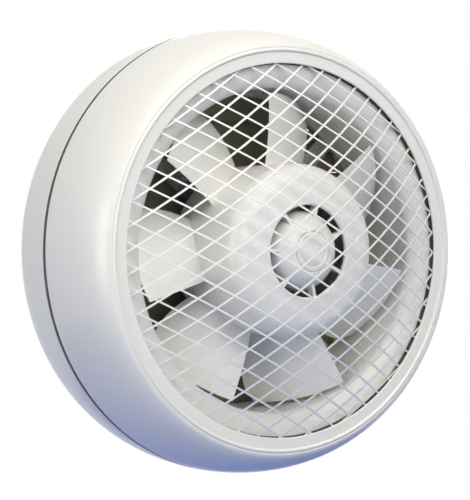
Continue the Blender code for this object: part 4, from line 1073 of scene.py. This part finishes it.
class FAN_OT_stage(bpy.types.Operator):
    """Set the floor, the lights and the camera"""

    bl_idname = "fan.stage"
    bl_label = "Studio"

    def execute(self, context):
        scene = context.scene
        studio = scene.fan_studio
        scene.view_settings.view_transform = "Standard"
        world = bpy.data.worlds.new("studio")
        world.use_nodes = True
        scene.world = world
        sky = world.node_tree.nodes["Background"]
        sky.inputs["Color"].default_value = (*studio.sky_colour, 1.0)
        sky.inputs["Strength"].default_value = studio.sky_strength
        target = world.node_tree.nodes["World Output"].inputs["Surface"]
        white_behind(world.node_tree, sky.outputs["Background"], target)
        self.floor(studio)
        middle = (0.0, at(AIM_DEPTH), 0.0)
        for name, place, size, power in (
            ("side", (-1.70, -0.50, 0.10), 1.0, studio.side_power),
            ("top", (0.10, -0.30, 1.60), 1.0, studio.top_power),
            ("high", (-0.15, -1.40, 1.35), 1.9, studio.high_power),
            ("fill", (0.15, -1.75, 0.55), 1.6, studio.fill_power),
            ("back", (1.20, 1.40, 0.40), 1.0, studio.back_power),
        ):
            lamp(name, place, middle, size, power, studio.lamp_colour)
        self.camera(scene, studio)
        return {"FINISHED"}

    def floor(self, studio):
        """A plain floor that the camera sees nearly white and that tints the light from below."""
        shape = bmesh.new()
        bmesh.ops.create_grid(shape, x_segments=1, y_segments=1, size=studio.floor_size / 2.0)
        moved(shape, (0.0, 0.0, studio.floor_height))
        material = bpy.data.materials.new("floor")
        material.use_nodes = True
        tree = material.node_tree
        shader = tree.nodes["Principled BSDF"]
        shader.inputs["Base Color"].default_value = (*studio.floor_colour, 1.0)
        shader.inputs["Roughness"].default_value = FLOOR_ROUGHNESS
        path = tree.nodes.new("ShaderNodeLightPath")
        glow = tree.nodes.new("ShaderNodeEmission")
        glow.inputs["Strength"].default_value = 1.0
        mix = tree.nodes.new("ShaderNodeMixShader")
        factor = tree.nodes.new("ShaderNodeMath")
        factor.operation = "MULTIPLY"
        factor.inputs[1].default_value = FLOOR_WHITE
        tree.links.new(path.outputs["Is Camera Ray"], factor.inputs[0])
        tree.links.new(factor.outputs["Value"], mix.inputs["Fac"])
        tree.links.new(shader.outputs["BSDF"], mix.inputs[1])
        tree.links.new(glow.outputs["Emission"], mix.inputs[2])
        tree.links.new(mix.outputs["Shader"], tree.nodes["Material Output"].inputs["Surface"])
        made("floor", shape, material)

    def camera(self, scene, studio):
        """A camera at the photograph's angle."""
        turn = studio.azimuth
        rise = studio.elevation
        back = Vector(
            (math.sin(turn) * math.cos(rise), -math.cos(turn) * math.cos(rise), math.sin(rise))
        )
        right = Vector((math.cos(turn), math.sin(turn), 0.0))
        up = back.cross(right)
        opening = Vector((0.0, FRONT, 0.0))
        aside = right * studio.shift_right + up * studio.shift_up
        place = opening + back * studio.distance - aside
        data = bpy.data.cameras.new("camera")
        data.lens = studio.lens
        data.sensor_width = 36.0
        data.sensor_fit = "AUTO"
        data.dof.use_dof = False
        camera = bpy.data.objects.new("camera", data)
        turned_to = Matrix((right, up, back)).transposed().to_4x4()
        camera.matrix_world = Matrix.Translation(place) @ turned_to
        scene.collection.objects.link(camera)
        scene.camera = camera


class FAN_PT_panel(bpy.types.Panel):
    """Lists the fan's makers and sizes"""

    bl_label = "Axial Extractor Fan"
    bl_idname = "FAN_PT_panel"
    bl_space_type = "VIEW_3D"
    bl_region_type = "UI"
    bl_category = "Fan"

    def draw(self, context):
        for operator in OPERATORS:
            self.layout.operator(operator.bl_idname)
        for name in GROUPS:
            group = getattr(context.scene, name)
            box = self.layout.box()
            box.label(text=name.replace("_", " ").capitalize())
            for key in group.bl_rna.properties.keys():
                if key not in ("rna_type", "name"):
                    box.prop(group, key)


GROUPS = {
    "fan_housing": HousingSizes,
    "fan_guard": GuardSizes,
    "fan_impeller": ImpellerSizes,
    "fan_colours": FinishColours,
    "fan_studio": StudioSettings,
}
OPERATORS = (
    FAN_OT_front_cover,
    FAN_OT_inlet_ring,
    FAN_OT_rear_casing,
    FAN_OT_guard,
    FAN_OT_impeller,
    FAN_OT_boss_cap,
    FAN_OT_finish_frame,
    FAN_OT_stage,
)


def register():
    for name, group in GROUPS.items():
        bpy.utils.register_class(group)
        setattr(bpy.types.Scene, name, PointerProperty(type=group))
    for cls in (*OPERATORS, FAN_PT_panel):
        bpy.utils.register_class(cls)


def unregister():
    for cls in (FAN_PT_panel, *reversed(OPERATORS)):
        bpy.utils.unregister_class(cls)
    for name, group in GROUPS.items():
        delattr(bpy.types.Scene, name)
        bpy.utils.unregister_class(group)


def main():
    register()
    for operator in OPERATORS:
        module, name = operator.bl_idname.split(".")
        getattr(getattr(bpy.ops, module), name)()


if __name__ == "__main__":
    main()
